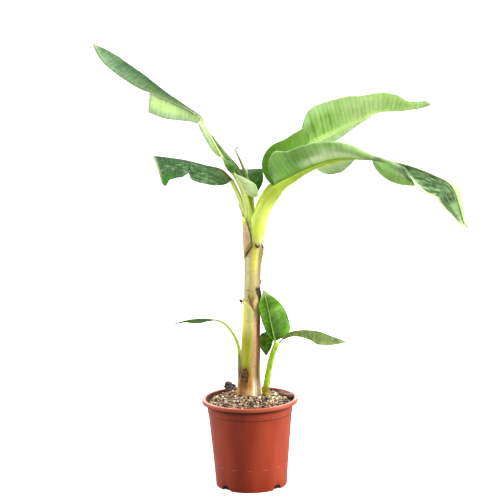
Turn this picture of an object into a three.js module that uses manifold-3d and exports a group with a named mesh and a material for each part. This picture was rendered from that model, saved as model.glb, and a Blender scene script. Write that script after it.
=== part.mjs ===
// A potted banana plant: a nursery pot of potting mix, a leaning trunk of wrapped leaf sheaths,
// five large leaves at its crown, and two young shoots from the same root.
// Millimetres, +Z up. The origin is the centre of the pot's flat underside.
// The camera side is -Y. Along a leaf that goes right, "near" is the half on the -Y side.
import * as THREE from "three";
import { mergeVertices } from "three/addons/utils/BufferGeometryUtils.js";
import Module from "manifold-3d";

const wasm = await Module();
wasm.setup();

// Driving dimensions
const GAP = 0.3; // clearance between pieces that touch
const POT_FOOT_RADIUS = 70.5;
const POT_NECK_RADIUS = 85.5;
const POT_RIM_RADIUS = 95;
const POT_RIM_UNDERSIDE = 167;
const POT_HEIGHT = 175;
const POT_WALL = 2.2;
const POT_BAND_HEIGHT = 149; // a shallow moulded step runs round the wall here
const POT_BAND_STEP = 0.9;
const NOTCH_WIDTH = 22; // four drain notches in the foot
const NOTCH_HEIGHT = 11;
const NOTCH_DEPTH = 15;
const POT_FLOOR = POT_WALL + 0.6;
const POT_LIP_DEPTH = 9; // the inner wall flares into the rim over this height
const SOIL_PLATEAU = 178; // the mix is heaped round the stems
const SOIL_PLATEAU_RADIUS = 52;
const SOIL_EDGE = 166;
const TRUNK_TOP = 505;
const LIMB_STEP = 16; // length of one facet along a stem, stalk or midrib
const BLADE_STEP = 18; // length of one facet along a blade
const SECTION_STEPS = 24; // steps in which a blade's section is laid out from midrib to margin
const NARROWEST_BLADE = 0.8; // width left where a strip has faded out
const RIB_SLIMNESS = 2.2; // a midrib thins quickly, then runs on thin
const SPLIT_GAP = 0.8; // between the two pieces of a long leaf, wider because their facets differ
const THINNEST_BLADE = 1.6;
const BLADE_THICKNESS_RATIO = 0.0115; // of the length of a leaf piece
const UP = new THREE.Vector3(0, 0, 1);
const AWAY = new THREE.Vector3(0, 1, 0);
const LEFT = -1; // sides of a midrib, looking from its foot to its tip
const RIGHT = 1;

// Stems: centre line and radii, both from foot to top
const STEMS = {
  trunk: {
    route: [[-1, 20, SOIL_PLATEAU], [-1, 20, 198], [5, 20, 286], [9, 18, 390], [12, 16, 460], [14.5, 14, TRUNK_TOP]],
    radii: [27, 20.5, 17, 16.5, 17, 21],
    sides: 20,
    reference: AWAY,
  },
  shoot_right_stem: {
    route: [[32, 0, SOIL_PLATEAU], [32, 0, 188], [37, 2, 219], [45, 3, 255], [56, 3, 285]],
    radii: [7.5, 6.5, 6, 5.6],
    sides: 10,
    reference: AWAY,
  },
  shoot_left_stem: {
    route: [[-31, 33, SOIL_PLATEAU], [-31, 33, 188], [-26, 37, 222], [-19, 40, 247], [-23, 39, 273], [-37, 40, 299],
      [-58, 40, 325]],
    radii: [6, 5.6, 5.2, 4.4, 3.2, 2.4],
    sides: 8,
    reference: AWAY,
  },
};

// Leaf stalks at the crown, the foremost first: each later one is cut clear of those before it
const STALKS = {
  petiole_right_low: {
    route: [[20, 3, 498], [24, 1, 520], [35, -2, 552], [53, -5, 592]],
    radii: [13.5, 16.5, 15.5, 10],
    groove: 0.8,
  },
  petiole_left_high: {
    route: [[6, 9, 498], [6, 10, 530], [3, 12, 569]],
    radii: [6.8, 6.8, 6.5],
    groove: 0.5,
  },
  petiole_left_low: {
    route: [[-1, 19, 498], [-3, 20, 548], [-11, 23, 574], [-26, 26, 605]],
    radii: [6.5, 7, 6.5, 5.5],
    groove: 0.5,
  },
  petiole_right_high: {
    route: [[25.5, 24, 498], [34, 34, 553], [52, 42, 585], [76, 48, 624]],
    radii: [7.5, 8, 7, 6],
    groove: 0.6,
  },
  petiole_back: {
    route: [[12, 30, 498], [12, 34, 544], [11, 38, 571]],
    radii: [6.5, 6.5, 5],
    groove: 0.5,
  },
  new_leaf_spear: {
    route: [[11, 20, 498], [6, 22, 570], [2, 25, 608], [-7, 25, 635], [-19, 25, 660], [-12, 25, 669]],
    radii: [4.5, 4, 3.4, 2, 1, 0.7],
    groove: 0,
  },
};

// Blades. A leaf is a midrib with torn or whole strips of blade on either side of it.
// A strip runs from one share of the midrib to another, grows to full width over its first share
// and fades over its last. A station is [share of the midrib, width, angle at the midrib, angle at
// the margin, how late the blade curls]: 0 degrees is flat, 90 straight up, -90 hanging down.
// Lean is how far the veins slope towards the tip, at a strip's two ends.
const LEAVES = {
  leaf_right_low: {
    stalk: "petiole_right_low",
    midrib: [[53, -5, 592], [77, -12, 611], [106, -20, 626], [148, -28, 642], [192, -36, 651],
      [252, -48, 652], [342, -62, 627], [385, -67, 602], [406, -70, 556], [420, -72, 521]],
    rib: [9.5, 1.4],
    splitAt: 0.475,
    strips: [
      { side: RIGHT, from: 0, to: 1, grow: 0.11, fade: 0.16, lean: [-12, 4], stations: [
        [0, 50, 52, 90, 1.2], [0.14, 52, 62, 98, 1.5], [0.26, 46, 48, 102, 1.5], [0.36, 36, 38, 122, 1.5],
        [0.47, 30, 12, 165, 1.5], [0.54, 40, -62, 140, 3], [0.64, 45, -78, 80, 5], [0.8, 40, -78, -70, 1],
        [1, 26, -75, -80, 1]] },
      { side: LEFT, from: 0, to: 0.195, grow: 0.1, fade: 0.008, lean: [-16, 6], stations: [
        [0, 72, 64, 84, 1], [0.195, 84, 62, 82, 1]] },
      { side: LEFT, from: 0.2, to: 0.355, grow: 0.06, fade: 0.09, lean: [0, 6], stations: [
        [0.2, 36, -15, -84, 1], [0.355, 36, -30, -88, 1]] },
      { side: LEFT, from: 0.455, to: 1, grow: 0.06, fade: 0.3, lean: [0, 8], stations: [
        [0.455, 48, -32, -84, 1], [0.7, 42, -45, -88, 1], [1, 30, -35, -75, 1]] },
    ],
  },
  leaf_right_high: {
    stalk: "petiole_right_high",
    midrib: [[76, 48, 624], [109, 60, 653], [147, 72, 675], [215, 92, 703], [286, 110, 726],
      [331, 118, 728], [373, 126, 734]],
    rib: [6, 1.2],
    splitAt: 0.5,
    strips: [
      { side: RIGHT, from: 0, to: 1, grow: 0.2, fade: 0.34, lean: [0, 14], stations: [
        [0, 60, 50, 82, 1], [0.22, 76, 62, 88, 1], [0.5, 64, 60, 84, 1], [1, 44, 30, 62, 1]] },
      { side: LEFT, from: 0, to: 1, grow: 0.14, fade: 0.4, lean: [0, 14], stations: [
        [0, 50, 0, -45, 1], [0.28, 55, -20, -60, 1], [0.42, 54, -12, -42, 1], [0.56, 50, 6, -8, 1],
        [1, 40, 5, -5, 1]] },
    ],
  },
  leaf_left_high: {
    stalk: "petiole_left_high",
    midrib: [[3, 12, 569], [-20, 16, 614], [-46, 26, 652], [-63, 36, 683], [-80, 48, 717],
      [-94, 56, 732], [-125, 68, 750], [-228, 104, 799], [-266, 116, 830], [-296, 124, 871]],
    rib: [6, 1.3],
    splitAt: 0.425,
    strips: [
      { side: RIGHT, from: 0.06, to: 1, grow: 0.05, fade: 0.24, lean: [0, 8], stations: [
        [0.06, 26, 30, 10, 1], [0.16, 26, 20, 0, 1], [0.3, 26, -8, -28, 1], [0.43, 32, -8, -20, 1],
        [0.55, 46, -4, 6, 1], [0.8, 50, 6, 14, 1], [1, 44, 6, 14, 1]] },
      { side: LEFT, from: 0, to: 0.125, grow: 0.05, fade: 0.035, lean: [0, 0], stations: [
        [0, 42, 80, 150, 1], [0.125, 44, 80, 140, 1]] },
      { side: LEFT, from: 0.125, to: 0.225, grow: 0.03, fade: 0.05, lean: [0, 0], stations: [
        [0.125, 14, -20, -60, 1], [0.225, 14, -20, -60, 1]] },
      { side: LEFT, from: 0.225, to: 0.42, grow: 0.1, fade: 0, lean: [-20, -26], stations: [
        [0.225, 15, -35, -85, 1], [0.42, 16, -35, -90, 1]] },
      { side: LEFT, from: 0.43, to: 0.69, grow: 0, fade: 0.06, lean: [-26, -24], stations: [
        [0.43, 18, -30, -90, 1], [0.54, 42, -5, -92, 1], [0.62, 52, 0, -92, 1], [0.69, 52, 0, -92, 1]] },
      { side: LEFT, from: 0.7, to: 1, grow: 0.14, fade: 0.3, lean: [0, 6], stations: [
        [0.7, 32, -115, -168, 1], [1, 30, -115, -168, 1]] },
    ],
  },
  leaf_left_low: {
    stalk: "petiole_left_low",
    midrib: [[-26, 26, 605], [-45, 24, 626], [-77, 10, 637], [-117, -4, 650], [-176, -18, 662]],
    rib: [5, 1.6],
    strips: [
      { side: LEFT, from: 0, to: 0.57, grow: 0.12, fade: 0.1, lean: [0, -4], stations: [
        [0, 30, -50, -85, 1], [0.4, 38, -60, -88, 1], [0.57, 34, -60, -88, 1]] },
      { side: LEFT, from: 0.57, to: 1, grow: 0.12, fade: 0, lean: [-4, -23], stations: [
        [0.57, 30, -60, -88, 1], [0.85, 42, -60, -88, 1], [0.96, 56, -60, -88, 1], [1, 50, -60, -88, 1]] },
      { side: RIGHT, from: 0.04, to: 1, grow: 0.1, fade: 0.15, lean: [0, 0], stations: [
        [0.04, 16, -50, -70, 1], [0.3, 40, -38, -60, 1], [1, 44, -40, -60, 1]] },
    ],
  },
  leaf_back: {
    stalk: "petiole_back",
    midrib: [[11, 38, 571], [9, 62, 588], [5, 100, 599], [4, 150, 605], [2, 190, 606]],
    rib: [4.5, 1.4],
    strips: [
      { side: LEFT, from: 0, to: 1, grow: 0.2, fade: 0.5, lean: [0, 10], stations: [
        [0, 30, 45, 20, 1], [0.5, 36, 40, 10, 1], [1, 30, 20, -20, 1]] },
      { side: RIGHT, from: 0, to: 1, grow: 0.2, fade: 0.5, lean: [0, 10], stations: [
        [0, 28, 45, 20, 1], [0.5, 34, 40, 10, 1], [1, 30, 20, -20, 1]] },
    ],
  },
  shoot_right_leaf_upright: {
    stalk: "shoot_right_stem",
    midrib: [[53, 1, 283], [48, 5, 305], [43, 8, 332], [38, 10, 358], [31, 14, 390]],
    rib: [2.6, 1],
    strips: [
      { side: LEFT, from: 0.04, to: 1, grow: 0.3, fade: 0.45, lean: [0, 12], stations: [
        [0.04, 22, 0, 20, 1], [1, 24, 0, 20, 1]] },
      { side: RIGHT, from: 0.04, to: 1, grow: 0.16, fade: 0.5, lean: [0, 12], stations: [
        [0.04, 38, 10, 22, 1], [0.5, 42, 10, 32, 1], [1, 38, 10, 40, 1]] },
    ],
  },
  shoot_right_leaf_side: {
    stalk: "shoot_right_stem",
    midrib: [[60, 1, 284], [78, -1, 303], [101, -4, 309], [136, -8, 307], [165, -10, 296], [193, -12, 285]],
    rib: [2.6, 1],
    strips: [
      { side: RIGHT, from: 0.06, to: 1, grow: 0.35, fade: 0.4, lean: [0, 8], stations: [
        [0.06, 22, -38, -68, 1], [0.6, 29, -45, -75, 1], [1, 26, -45, -75, 1]] },
      { side: LEFT, from: 0.06, to: 1, grow: 0.3, fade: 0.45, lean: [0, 8], stations: [
        [0.06, 20, 10, -20, 1], [0.5, 24, 10, -20, 1], [1, 20, 10, -20, 1]] },
    ],
  },
  shoot_right_leaf_back: {
    stalk: "shoot_right_stem",
    midrib: [[54, 7, 284], [45, 20, 296], [39, 33, 284], [36, 41, 252]],
    rib: [2.4, 0.9],
    strips: [
      { side: LEFT, from: 0.1, to: 1, grow: 0.3, fade: 0.5, lean: [0, 4], stations: [
        [0.1, 14, 10, -20, 1], [1, 16, 10, -20, 1]] },
      { side: RIGHT, from: 0.1, to: 1, grow: 0.3, fade: 0.5, lean: [0, 4], stations: [
        [0.1, 14, 10, -20, 1], [1, 16, 10, -20, 1]] },
    ],
  },
  shoot_left_leaf: {
    stalk: "shoot_left_stem",
    midrib: [[-58, 40, 325], [-84, 42, 327], [-116, 44, 325], [-158, 46, 314]],
    rib: [2.4, 1],
    strips: [
      { side: LEFT, from: 0.02, to: 1, grow: 0.3, fade: 0.5, lean: [0, 6], stations: [
        [0.02, 10, -20, -50, 1], [1, 11, -20, -50, 1]] },
      { side: RIGHT, from: 0.02, to: 1, grow: 0.3, fade: 0.5, lean: [0, 6], stations: [
        [0.02, 10, 10, -10, 1], [1, 11, 10, -10, 1]] },
    ],
  },
};

// Finishes: colour, roughness, metalness
const FINISHES = {
  terracotta: { color: "#a44630", roughness: 0.55, metalness: 0 },
  mix: { color: "#93795a", roughness: 0.95, metalness: 0 },
  bark: { color: "#4a3a30", roughness: 0.9, metalness: 0 },
  sheath: { color: "#c6b083", roughness: 0.6, metalness: 0 },
  stalk: { color: "#cbdc62", roughness: 0.45, metalness: 0 },
  blade: { color: "#6f9a4c", roughness: 0.5, metalness: 0 },
  youngBlade: { color: "#629a2a", roughness: 0.45, metalness: 0 },
};

const radians = THREE.MathUtils.degToRad;

// A closed geometry becomes a solid that can be joined and cut
function solidOf(geometry) {
  const bare = geometry.clone();
  bare.deleteAttribute("normal");
  bare.deleteAttribute("uv");
  const merged = mergeVertices(bare);
  return new wasm.Manifold(new wasm.Mesh({
    numProp: 3,
    vertProperties: new Float32Array(merged.attributes.position.array),
    triVerts: new Uint32Array(merged.index.array),
  }));
}

function geometryOf(solid) {
  const { vertProperties, triVerts } = solid.getMesh();
  const geometry = new THREE.BufferGeometry();
  geometry.setAttribute("position", new THREE.BufferAttribute(vertProperties, 3));
  geometry.setIndex(new THREE.BufferAttribute(triVerts, 1));
  geometry.computeVertexNormals();
  return geometry;
}

// Moves every corner of a geometry to where the rule puts it
function reshape(geometry, rule) {
  const corners = geometry.attributes.position;
  const corner = new THREE.Vector3();
  for (let i = 0; i < corners.count; i += 1) {
    corner.fromBufferAttribute(corners, i);
    const moved = rule(corner);
    corners.setXYZ(i, moved.x, moved.y, moved.z);
  }
  return geometry;
}

function curveThrough(points) {
  return new THREE.CatmullRomCurve3(points.map((p) => new THREE.Vector3(...p)), false, "centripetal");
}

// The centre, direction, right-hand side and top of a curve at a share of its length.
// The top lies towards the reference, which is never the way the curve runs.
function frameAt(curve, share, reference = UP) {
  const centre = curve.getPointAt(share);
  const along = curve.getTangentAt(share).normalize();
  const right = new THREE.Vector3().crossVectors(along, reference).normalize();
  const top = new THREE.Vector3().crossVectors(right, along);
  return { centre, along, right, top };
}

// A smooth value between stations, with no overshoot
function between(stations, share, column) {
  const last = stations.length - 1;
  let k = 0;
  while (k < last - 1 && share > stations[k + 1][0]) k += 1;
  const slopeOf = (i) => (stations[i + 1][column] - stations[i][column]) / (stations[i + 1][0] - stations[i][0]);
  const tangentAt = (i) => {
    if (i === 0) return slopeOf(0);
    if (i === last) return slopeOf(last - 1);
    const before = slopeOf(i - 1);
    const after = slopeOf(i);
    return before * after > 0 ? (2 * before * after) / (before + after) : 0;
  };
  const step = stations[k + 1][0] - stations[k][0];
  const t = THREE.MathUtils.clamp((share - stations[k][0]) / step, 0, 1);
  const t2 = t * t;
  const t3 = t2 * t;
  return (2 * t3 - 3 * t2 + 1) * stations[k][column] + (t3 - 2 * t2 + t) * step * tangentAt(k)
    + (3 * t2 - 2 * t3) * stations[k + 1][column] + (t3 - t2) * step * tangentAt(k + 1);
}

// A round limb along a route. Its top may be pressed in as a groove, as a leaf stalk's is.
// A swollen limb is wider and longer by a clearance, and is used to cut its neighbours clear.
function limb({ route, radii, sides = 12, groove = 0, from = 0, to = 1, reference = UP }, clearance = 0) {
  const curve = curveThrough(route);
  const length = curve.getLength() * (to - from);
  const steps = Math.max(3, Math.round(length / LIMB_STEP));
  const stations = radii.map((radius, k) => [k / (radii.length - 1), radius]);
  const rod = new THREE.CylinderGeometry(1, 1, 1, sides, steps);
  return solidOf(reshape(rod, (corner) => {
    const end = Math.round((corner.y + 0.5) * steps) / steps;
    const share = from + (to - from) * end;
    const { centre, along, right, top } = frameAt(curve, share, reference);
    const radius = between(stations, share, 1) + clearance;
    const pressed = corner.z > 0 ? corner.z * (1 - groove * (1 - corner.x * corner.x)) : corner.z;
    const beyond = end === 0 ? -clearance : end === 1 ? clearance : 0;
    return centre.addScaledVector(right, corner.x * radius).addScaledVector(top, pressed * radius)
      .addScaledVector(along, beyond);
  }));
}

// How wide a strip is at a share of the midrib: round at its foot, pointed or torn at its end
function widthAt(strip, share) {
  const start = strip.grow > 0 ? THREE.MathUtils.clamp((share - strip.from) / strip.grow, 0, 1) : 1;
  const end = strip.fade > 0 ? THREE.MathUtils.clamp((strip.to - share) / strip.fade, 0, 1) : 1;
  const swell = Math.sqrt(1 - (1 - start) ** 2);
  const taper = 1 - (1 - end) ** 1.5;
  return Math.max(NARROWEST_BLADE, between(strip.stations, share, 1) * swell * taper);
}

// One strip of blade between two shares of the midrib, as a thin closed solid
function blade(curve, strip, from, to, thickness) {
  const length = curve.getLength() * (to - from);
  const curls = strip.stations.some((station) => station[4] > 1);
  const sheet = new THREE.BoxGeometry(1, 1, 1, curls ? 6 : 3, Math.max(5, Math.round(length / BLADE_STEP)), 1);
  return solidOf(reshape(sheet, (corner) => {
    const share = from + (to - from) * (corner.y + 0.5);
    const out = corner.x + 0.5;
    const { centre, along, right, top } = frameAt(curve, share);
    const width = widthAt(strip, share);
    const root = radians(between(strip.stations, share, 2));
    const edge = radians(between(strip.stations, share, 3));
    const late = between(strip.stations, share, 4);
    const slope = Math.tan(radians(THREE.MathUtils.mapLinear(share, strip.from, strip.to, ...strip.lean)));
    let sideways = 0;
    let upwards = 0;
    for (let k = 0; k < SECTION_STEPS; k += 1) {
      const angle = root + (edge - root) * (out * (k + 0.5) / SECTION_STEPS) ** late;
      sideways += Math.cos(angle) * out * width / SECTION_STEPS;
      upwards += Math.sin(angle) * out * width / SECTION_STEPS;
    }
    const angle = root + (edge - root) * out ** late;
    const lift = corner.z * strip.side * thickness; // the mirrored side is laid upside down
    sideways -= Math.sin(angle) * lift;
    upwards += Math.cos(angle) * lift;
    return centre.addScaledVector(right, strip.side * sideways).addScaledVector(top, upwards)
      .addScaledVector(along, slope * out * width);
  }));
}

// A leaf piece: its stretch of midrib with the strips of blade that grow on it
function leafPiece(leaf, start, end) {
  const curve = curveThrough(leaf.midrib);
  const length = curve.getLength();
  const thickness = Math.max(THINNEST_BLADE, BLADE_THICKNESS_RATIO * length * (end - start));
  const [footRadius, tipRadius] = leaf.rib;
  const ribRadii = [footRadius, (footRadius + tipRadius) / RIB_SLIMNESS, Math.max(tipRadius, thickness * 0.6)];
  let piece = limb({ route: leaf.midrib, radii: ribRadii, sides: 6, from: start, to: end });
  for (const strip of leaf.strips) {
    const from = Math.max(start, strip.from);
    const to = Math.min(end, strip.to);
    if (to - from > 0.01) piece = piece.add(blade(curve, strip, from, to, thickness));
  }
  return piece;
}

const plant = new THREE.Group();

function place(name, solid, finish) {
  const mesh = new THREE.Mesh(geometryOf(solid), new THREE.MeshStandardMaterial(FINISHES[finish]));
  mesh.name = name;
  plant.add(mesh);
}

// The pot: a turned wall with a rolled rim, and notches cut through the corner of its foot
function pot() {
  const bandRadius = THREE.MathUtils.mapLinear(POT_BAND_HEIGHT, 0, POT_RIM_UNDERSIDE, POT_FOOT_RADIUS, POT_NECK_RADIUS);
  const innerNeck = POT_NECK_RADIUS - POT_WALL;
  const profile = [
    [0, 0], [POT_FOOT_RADIUS - 1, 0], [POT_FOOT_RADIUS, 1],
    [bandRadius - POT_BAND_STEP, POT_BAND_HEIGHT - 2], [bandRadius, POT_BAND_HEIGHT],
    [POT_NECK_RADIUS, POT_RIM_UNDERSIDE - 2], [POT_NECK_RADIUS + 2, POT_RIM_UNDERSIDE],
    [POT_RIM_RADIUS - 2, POT_RIM_UNDERSIDE], [POT_RIM_RADIUS, POT_RIM_UNDERSIDE + 2],
    [POT_RIM_RADIUS, POT_HEIGHT - 2.5], [POT_RIM_RADIUS - 2.5, POT_HEIGHT],
    [innerNeck + 4.5, POT_HEIGHT], [innerNeck + 2.5, POT_HEIGHT - 2],
    [innerNeck, POT_HEIGHT - POT_LIP_DEPTH], [innerRadius(POT_FLOOR), POT_FLOOR], [0, POT_FLOOR],
  ];
  let body = solidOf(new THREE.LatheGeometry(profile.map(([r, z]) => new THREE.Vector2(r, z)), 44).rotateX(Math.PI / 2));
  for (let k = 0; k < 4; k += 1) {
    const notch = new THREE.CylinderGeometry(1, 1, NOTCH_DEPTH * 2, 12, 1).rotateZ(Math.PI / 2);
    notch.scale(1, NOTCH_WIDTH / 2, NOTCH_HEIGHT).translate(POT_FOOT_RADIUS + NOTCH_DEPTH / 2, 0, 0);
    notch.rotateZ(radians(45 + 90 * k));
    body = body.subtract(solidOf(notch));
  }
  return body;
}

function innerRadius(z) {
  return THREE.MathUtils.mapLinear(z, 0, POT_HEIGHT - POT_LIP_DEPTH, POT_FOOT_RADIUS - POT_WALL,
    POT_NECK_RADIUS - POT_WALL);
}

// The potting mix fills the pot and is heaped in the middle, where the stems stand on it
function pottingMix() {
  const bottom = POT_FLOOR + GAP;
  const edgeRadius = innerRadius(SOIL_EDGE) - GAP;
  const profile = [
    [0, bottom], [innerRadius(bottom) - GAP, bottom], [edgeRadius, SOIL_EDGE],
    [edgeRadius - 14, SOIL_EDGE + 5.5], [SOIL_PLATEAU_RADIUS, SOIL_PLATEAU - GAP], [0, SOIL_PLATEAU - GAP],
  ];
  return solidOf(new THREE.LatheGeometry(profile.map(([r, z]) => new THREE.Vector2(r, z)), 40).rotateX(Math.PI / 2));
}

// A flake of bark that lies on the mix
function barkFlake(length, width, height, at, turn) {
  const flake = new THREE.IcosahedronGeometry(1, 1).scale(length / 2, width / 2, height / 2);
  return solidOf(flake.rotateY(radians(turn[0])).rotateZ(radians(turn[1])).translate(...at));
}

place("pot", pot(), "terracotta");
place("potting_mix", pottingMix(), "mix");
place("bark_flake_left", barkFlake(19, 7, 15, [-40, 62, SOIL_EDGE + 11.7], [15, 20]), "bark");
place("bark_flake_right", barkFlake(24, 12, 8, [71, 14, SOIL_EDGE + 8.6], [18, -15]), "bark");

const trunkRoom = limb(STEMS.trunk, GAP);
place("trunk", limb(STEMS.trunk), "sheath");
place("shoot_right_stem", limb(STEMS.shoot_right_stem).subtract(trunkRoom), "stalk");
place("shoot_left_stem", limb(STEMS.shoot_left_stem).subtract(trunkRoom), "stalk");

const stalkRooms = [];
for (const [name, stalk] of Object.entries(STALKS)) {
  let piece = limb(stalk).subtract(trunkRoom);
  for (const room of stalkRooms) piece = piece.subtract(room);
  stalkRooms.push(limb(stalk, GAP));
  place(name, piece, name === "new_leaf_spear" ? "blade" : "stalk");
}

for (const [name, leaf] of Object.entries(LEAVES)) {
  const ownStalk = STALKS[leaf.stalk] ?? STEMS[leaf.stalk];
  const halfGap = SPLIT_GAP / 2 / curveThrough(leaf.midrib).getLength();
  const stretches = leaf.splitAt === undefined
    ? { [name]: [0, 1] }
    : { [`${name}_inner`]: [0, leaf.splitAt - halfGap], [`${name}_outer`]: [leaf.splitAt + halfGap, 1] };
  for (const [part, [start, end]] of Object.entries(stretches)) {
    let piece = leafPiece(leaf, start, end).subtract(limb({ ...ownStalk, groove: 0 }, GAP));
    for (const room of stalkRooms) piece = piece.subtract(room);
    place(part, piece, name.startsWith("shoot") ? "youngBlade" : "blade");
  }
}

export default plant;
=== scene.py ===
# %% [markdown]
# # A potted banana plant
# This lesson dresses a plain CAD model of a young banana plant in a nursery pot. The CAD part gives
# every size: the pot, the leaning trunk, the leaf stalks and the line of each leaf. Blender gives the
# looks: thin torn blades with veins, wrapped leaf sheaths with dry edges, bark chips and moulded plastic.
# All numbers are metres, in the CAD part's own frame: the pot stands on z = 0 and the camera side is -Y.

import math
import random

import bmesh
import bpy
from mathutils import Matrix, Vector, noise


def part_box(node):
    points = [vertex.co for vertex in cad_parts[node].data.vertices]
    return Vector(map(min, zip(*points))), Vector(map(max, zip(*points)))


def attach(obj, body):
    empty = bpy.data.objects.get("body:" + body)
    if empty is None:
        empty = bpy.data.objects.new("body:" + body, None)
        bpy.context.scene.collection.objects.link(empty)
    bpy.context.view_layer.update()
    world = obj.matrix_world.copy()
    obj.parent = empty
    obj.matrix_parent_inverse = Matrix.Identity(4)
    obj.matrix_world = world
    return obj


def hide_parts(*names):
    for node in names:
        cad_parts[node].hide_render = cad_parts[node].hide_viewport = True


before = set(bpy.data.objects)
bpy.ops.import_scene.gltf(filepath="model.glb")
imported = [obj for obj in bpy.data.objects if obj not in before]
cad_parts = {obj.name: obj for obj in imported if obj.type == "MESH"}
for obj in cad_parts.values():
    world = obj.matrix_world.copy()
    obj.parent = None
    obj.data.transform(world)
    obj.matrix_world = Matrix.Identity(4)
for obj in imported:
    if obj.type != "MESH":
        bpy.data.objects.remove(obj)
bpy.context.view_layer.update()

# %% [markdown]
# ## Numbers that the shapes share
# The CAD part was worked out from nearly these numbers, so the fine pieces follow its solids closely.
# A stem has a route from foot to top, and radii at equal shares of it. A leaf has a midrib, with torn or
# whole strips of blade on both sides. A strip's station is a share of the midrib, the width of the blade,
# its angle at the midrib, its angle at the margin, and how late it curls, where that isn't 1, an even
# curl. Zero degrees is flat, 90 is up.

# %% The pot and the mix
POT_FOOT_RADIUS = 0.0705
POT_NECK_RADIUS = 0.0855
POT_RIM_RADIUS = 0.095
POT_RIM_UNDERSIDE = 0.167
POT_HEIGHT = 0.175
POT_WALL = 0.0022
POT_FLOOR = POT_WALL + 0.0006
POT_LIP_DEPTH = 0.009
POT_BAND_HEIGHT = 0.149
POT_BAND_STEP = 0.0009
POT_LIP_ROUNDING = 0.0026
POT_MARK_HEIGHT = 0.0445
NOTCH_WIDTH = 0.022
NOTCH_HEIGHT = 0.011
NOTCH_DEPTH = 0.015
SOIL_PLATEAU = 0.178
SOIL_PLATEAU_RADIUS = 0.052
SOIL_EDGE = 0.166
CLEARANCE = 0.0003
random.seed(11)

# %% The stems and the leaf stalks
UP = Vector((0, 0, 1))
AWAY = Vector((0, 1, 0))
STEMS = {
    "trunk": {
        "route": [(0.0002, 0.02, 0.178), (0.0002, 0.02, 0.198), (0.005, 0.02, 0.286),
            (0.009, 0.018, 0.39), (0.012, 0.016, 0.46), (0.0145, 0.014, 0.505)],
        "radii": [0.0245, 0.0198, 0.0172, 0.0165, 0.017, 0.021],
    },
    "shoot_right_stem": {
        "route": [(0.032, 0, 0.178), (0.032, 0, 0.188), (0.037, 0.002, 0.219), (0.045, 0.003, 0.255),
            (0.056, 0.003, 0.285)],
        "radii": [0.0075, 0.0065, 0.006, 0.0056],
    },
    "shoot_left_stem": {
        "route": [(-0.019, 0.044, 0.178), (-0.019, 0.044, 0.19), (-0.019, 0.043, 0.222),
            (-0.0185, 0.041, 0.248), (-0.0215, 0.039, 0.273), (-0.031, 0.038, 0.296),
            (-0.046, 0.039, 0.3155), (-0.062, 0.04, 0.324)],
        "radii": [0.0042, 0.0041, 0.0039, 0.0034, 0.0028, 0.0022],
    },
}
STALKS = {
    "petiole_right_low": {
        "route": [(0.0165, 0.0105, 0.462), (0.0193, 0.0065, 0.4825), (0.0212, 0.003, 0.501),
            (0.024, 0.001, 0.523), (0.03, -0.001, 0.547), (0.041, -0.003, 0.569), (0.057, -0.005, 0.59)],
        "radii": [0.0095, 0.0126, 0.0142, 0.0162, 0.0176, 0.0176, 0.0168],
    },
    "petiole_left_high": {
        "route": [(0.0085, 0.013, 0.466), (0.0066, 0.0095, 0.498), (0.0065, 0.01, 0.5275),
            (0.0045, 0.011, 0.555), (-0.001, 0.012, 0.579)],
        "radii": [0.0072, 0.0074, 0.0076, 0.008, 0.0086],
        "groove": (0.0, 0.9),
    },
    "petiole_left_low": {
        "route": [(0.003, 0.018, 0.466), (0, 0.019, 0.498), (-0.0025, 0.02, 0.536),
            (-0.0075, 0.0215, 0.56), (-0.0155, 0.024, 0.581), (-0.026, 0.026, 0.605)],
        "radii": [0.0066, 0.007, 0.0068, 0.0062, 0.006, 0.0056],
        "groove": (0.0, 0.9),
    },
    "petiole_right_high": {
        "route": [(0.021, 0.02, 0.47), (0.0255, 0.024, 0.498), (0.034, 0.034, 0.553),
            (0.052, 0.042, 0.585), (0.074, 0.048, 0.622)],
        "radii": [0.007, 0.008, 0.008, 0.0072, 0.006],
        "groove": (0.0, 1.0),
    },
    "petiole_back": {
        "route": [(0.012, 0.024, 0.47), (0.012, 0.03, 0.498), (0.012, 0.034, 0.544),
            (0.011, 0.038, 0.571)],
        "radii": [0.0065, 0.0065, 0.006, 0.005],
        "groove": (0.0, 0.9),
    },
    "new_leaf_spear": {
        "route": [(0.011, 0.02, 0.498), (0.007, 0.022, 0.57), (0.003, 0.024, 0.608),
            (-0.006, 0.025, 0.635), (-0.0155, 0.025, 0.658), (-0.018, 0.025, 0.664),
            (-0.012, 0.025, 0.67)],
        "radii": [0.0045, 0.0046, 0.0047, 0.0043, 0.0032, 0.0019, 0.0008],
    },
}
print(len(STEMS), "stems and", len(STALKS), "stalks")

# %% The leaves
LEFT, RIGHT = -1, 1


def strip(side, *stations, grow, fade, lean):
    """A strip of blade on one side, from its first station to its last. The strip grows from nothing and
    fades to nothing over shares of the midrib, and leans along it by degrees, from one end to the other."""
    stations = [(*station, 1)[:5] for station in stations]
    return {"side": side, "from": stations[0][0], "to": stations[-1][0], "stations": stations,
        "grow": grow, "fade": fade, "lean": lean}


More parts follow.
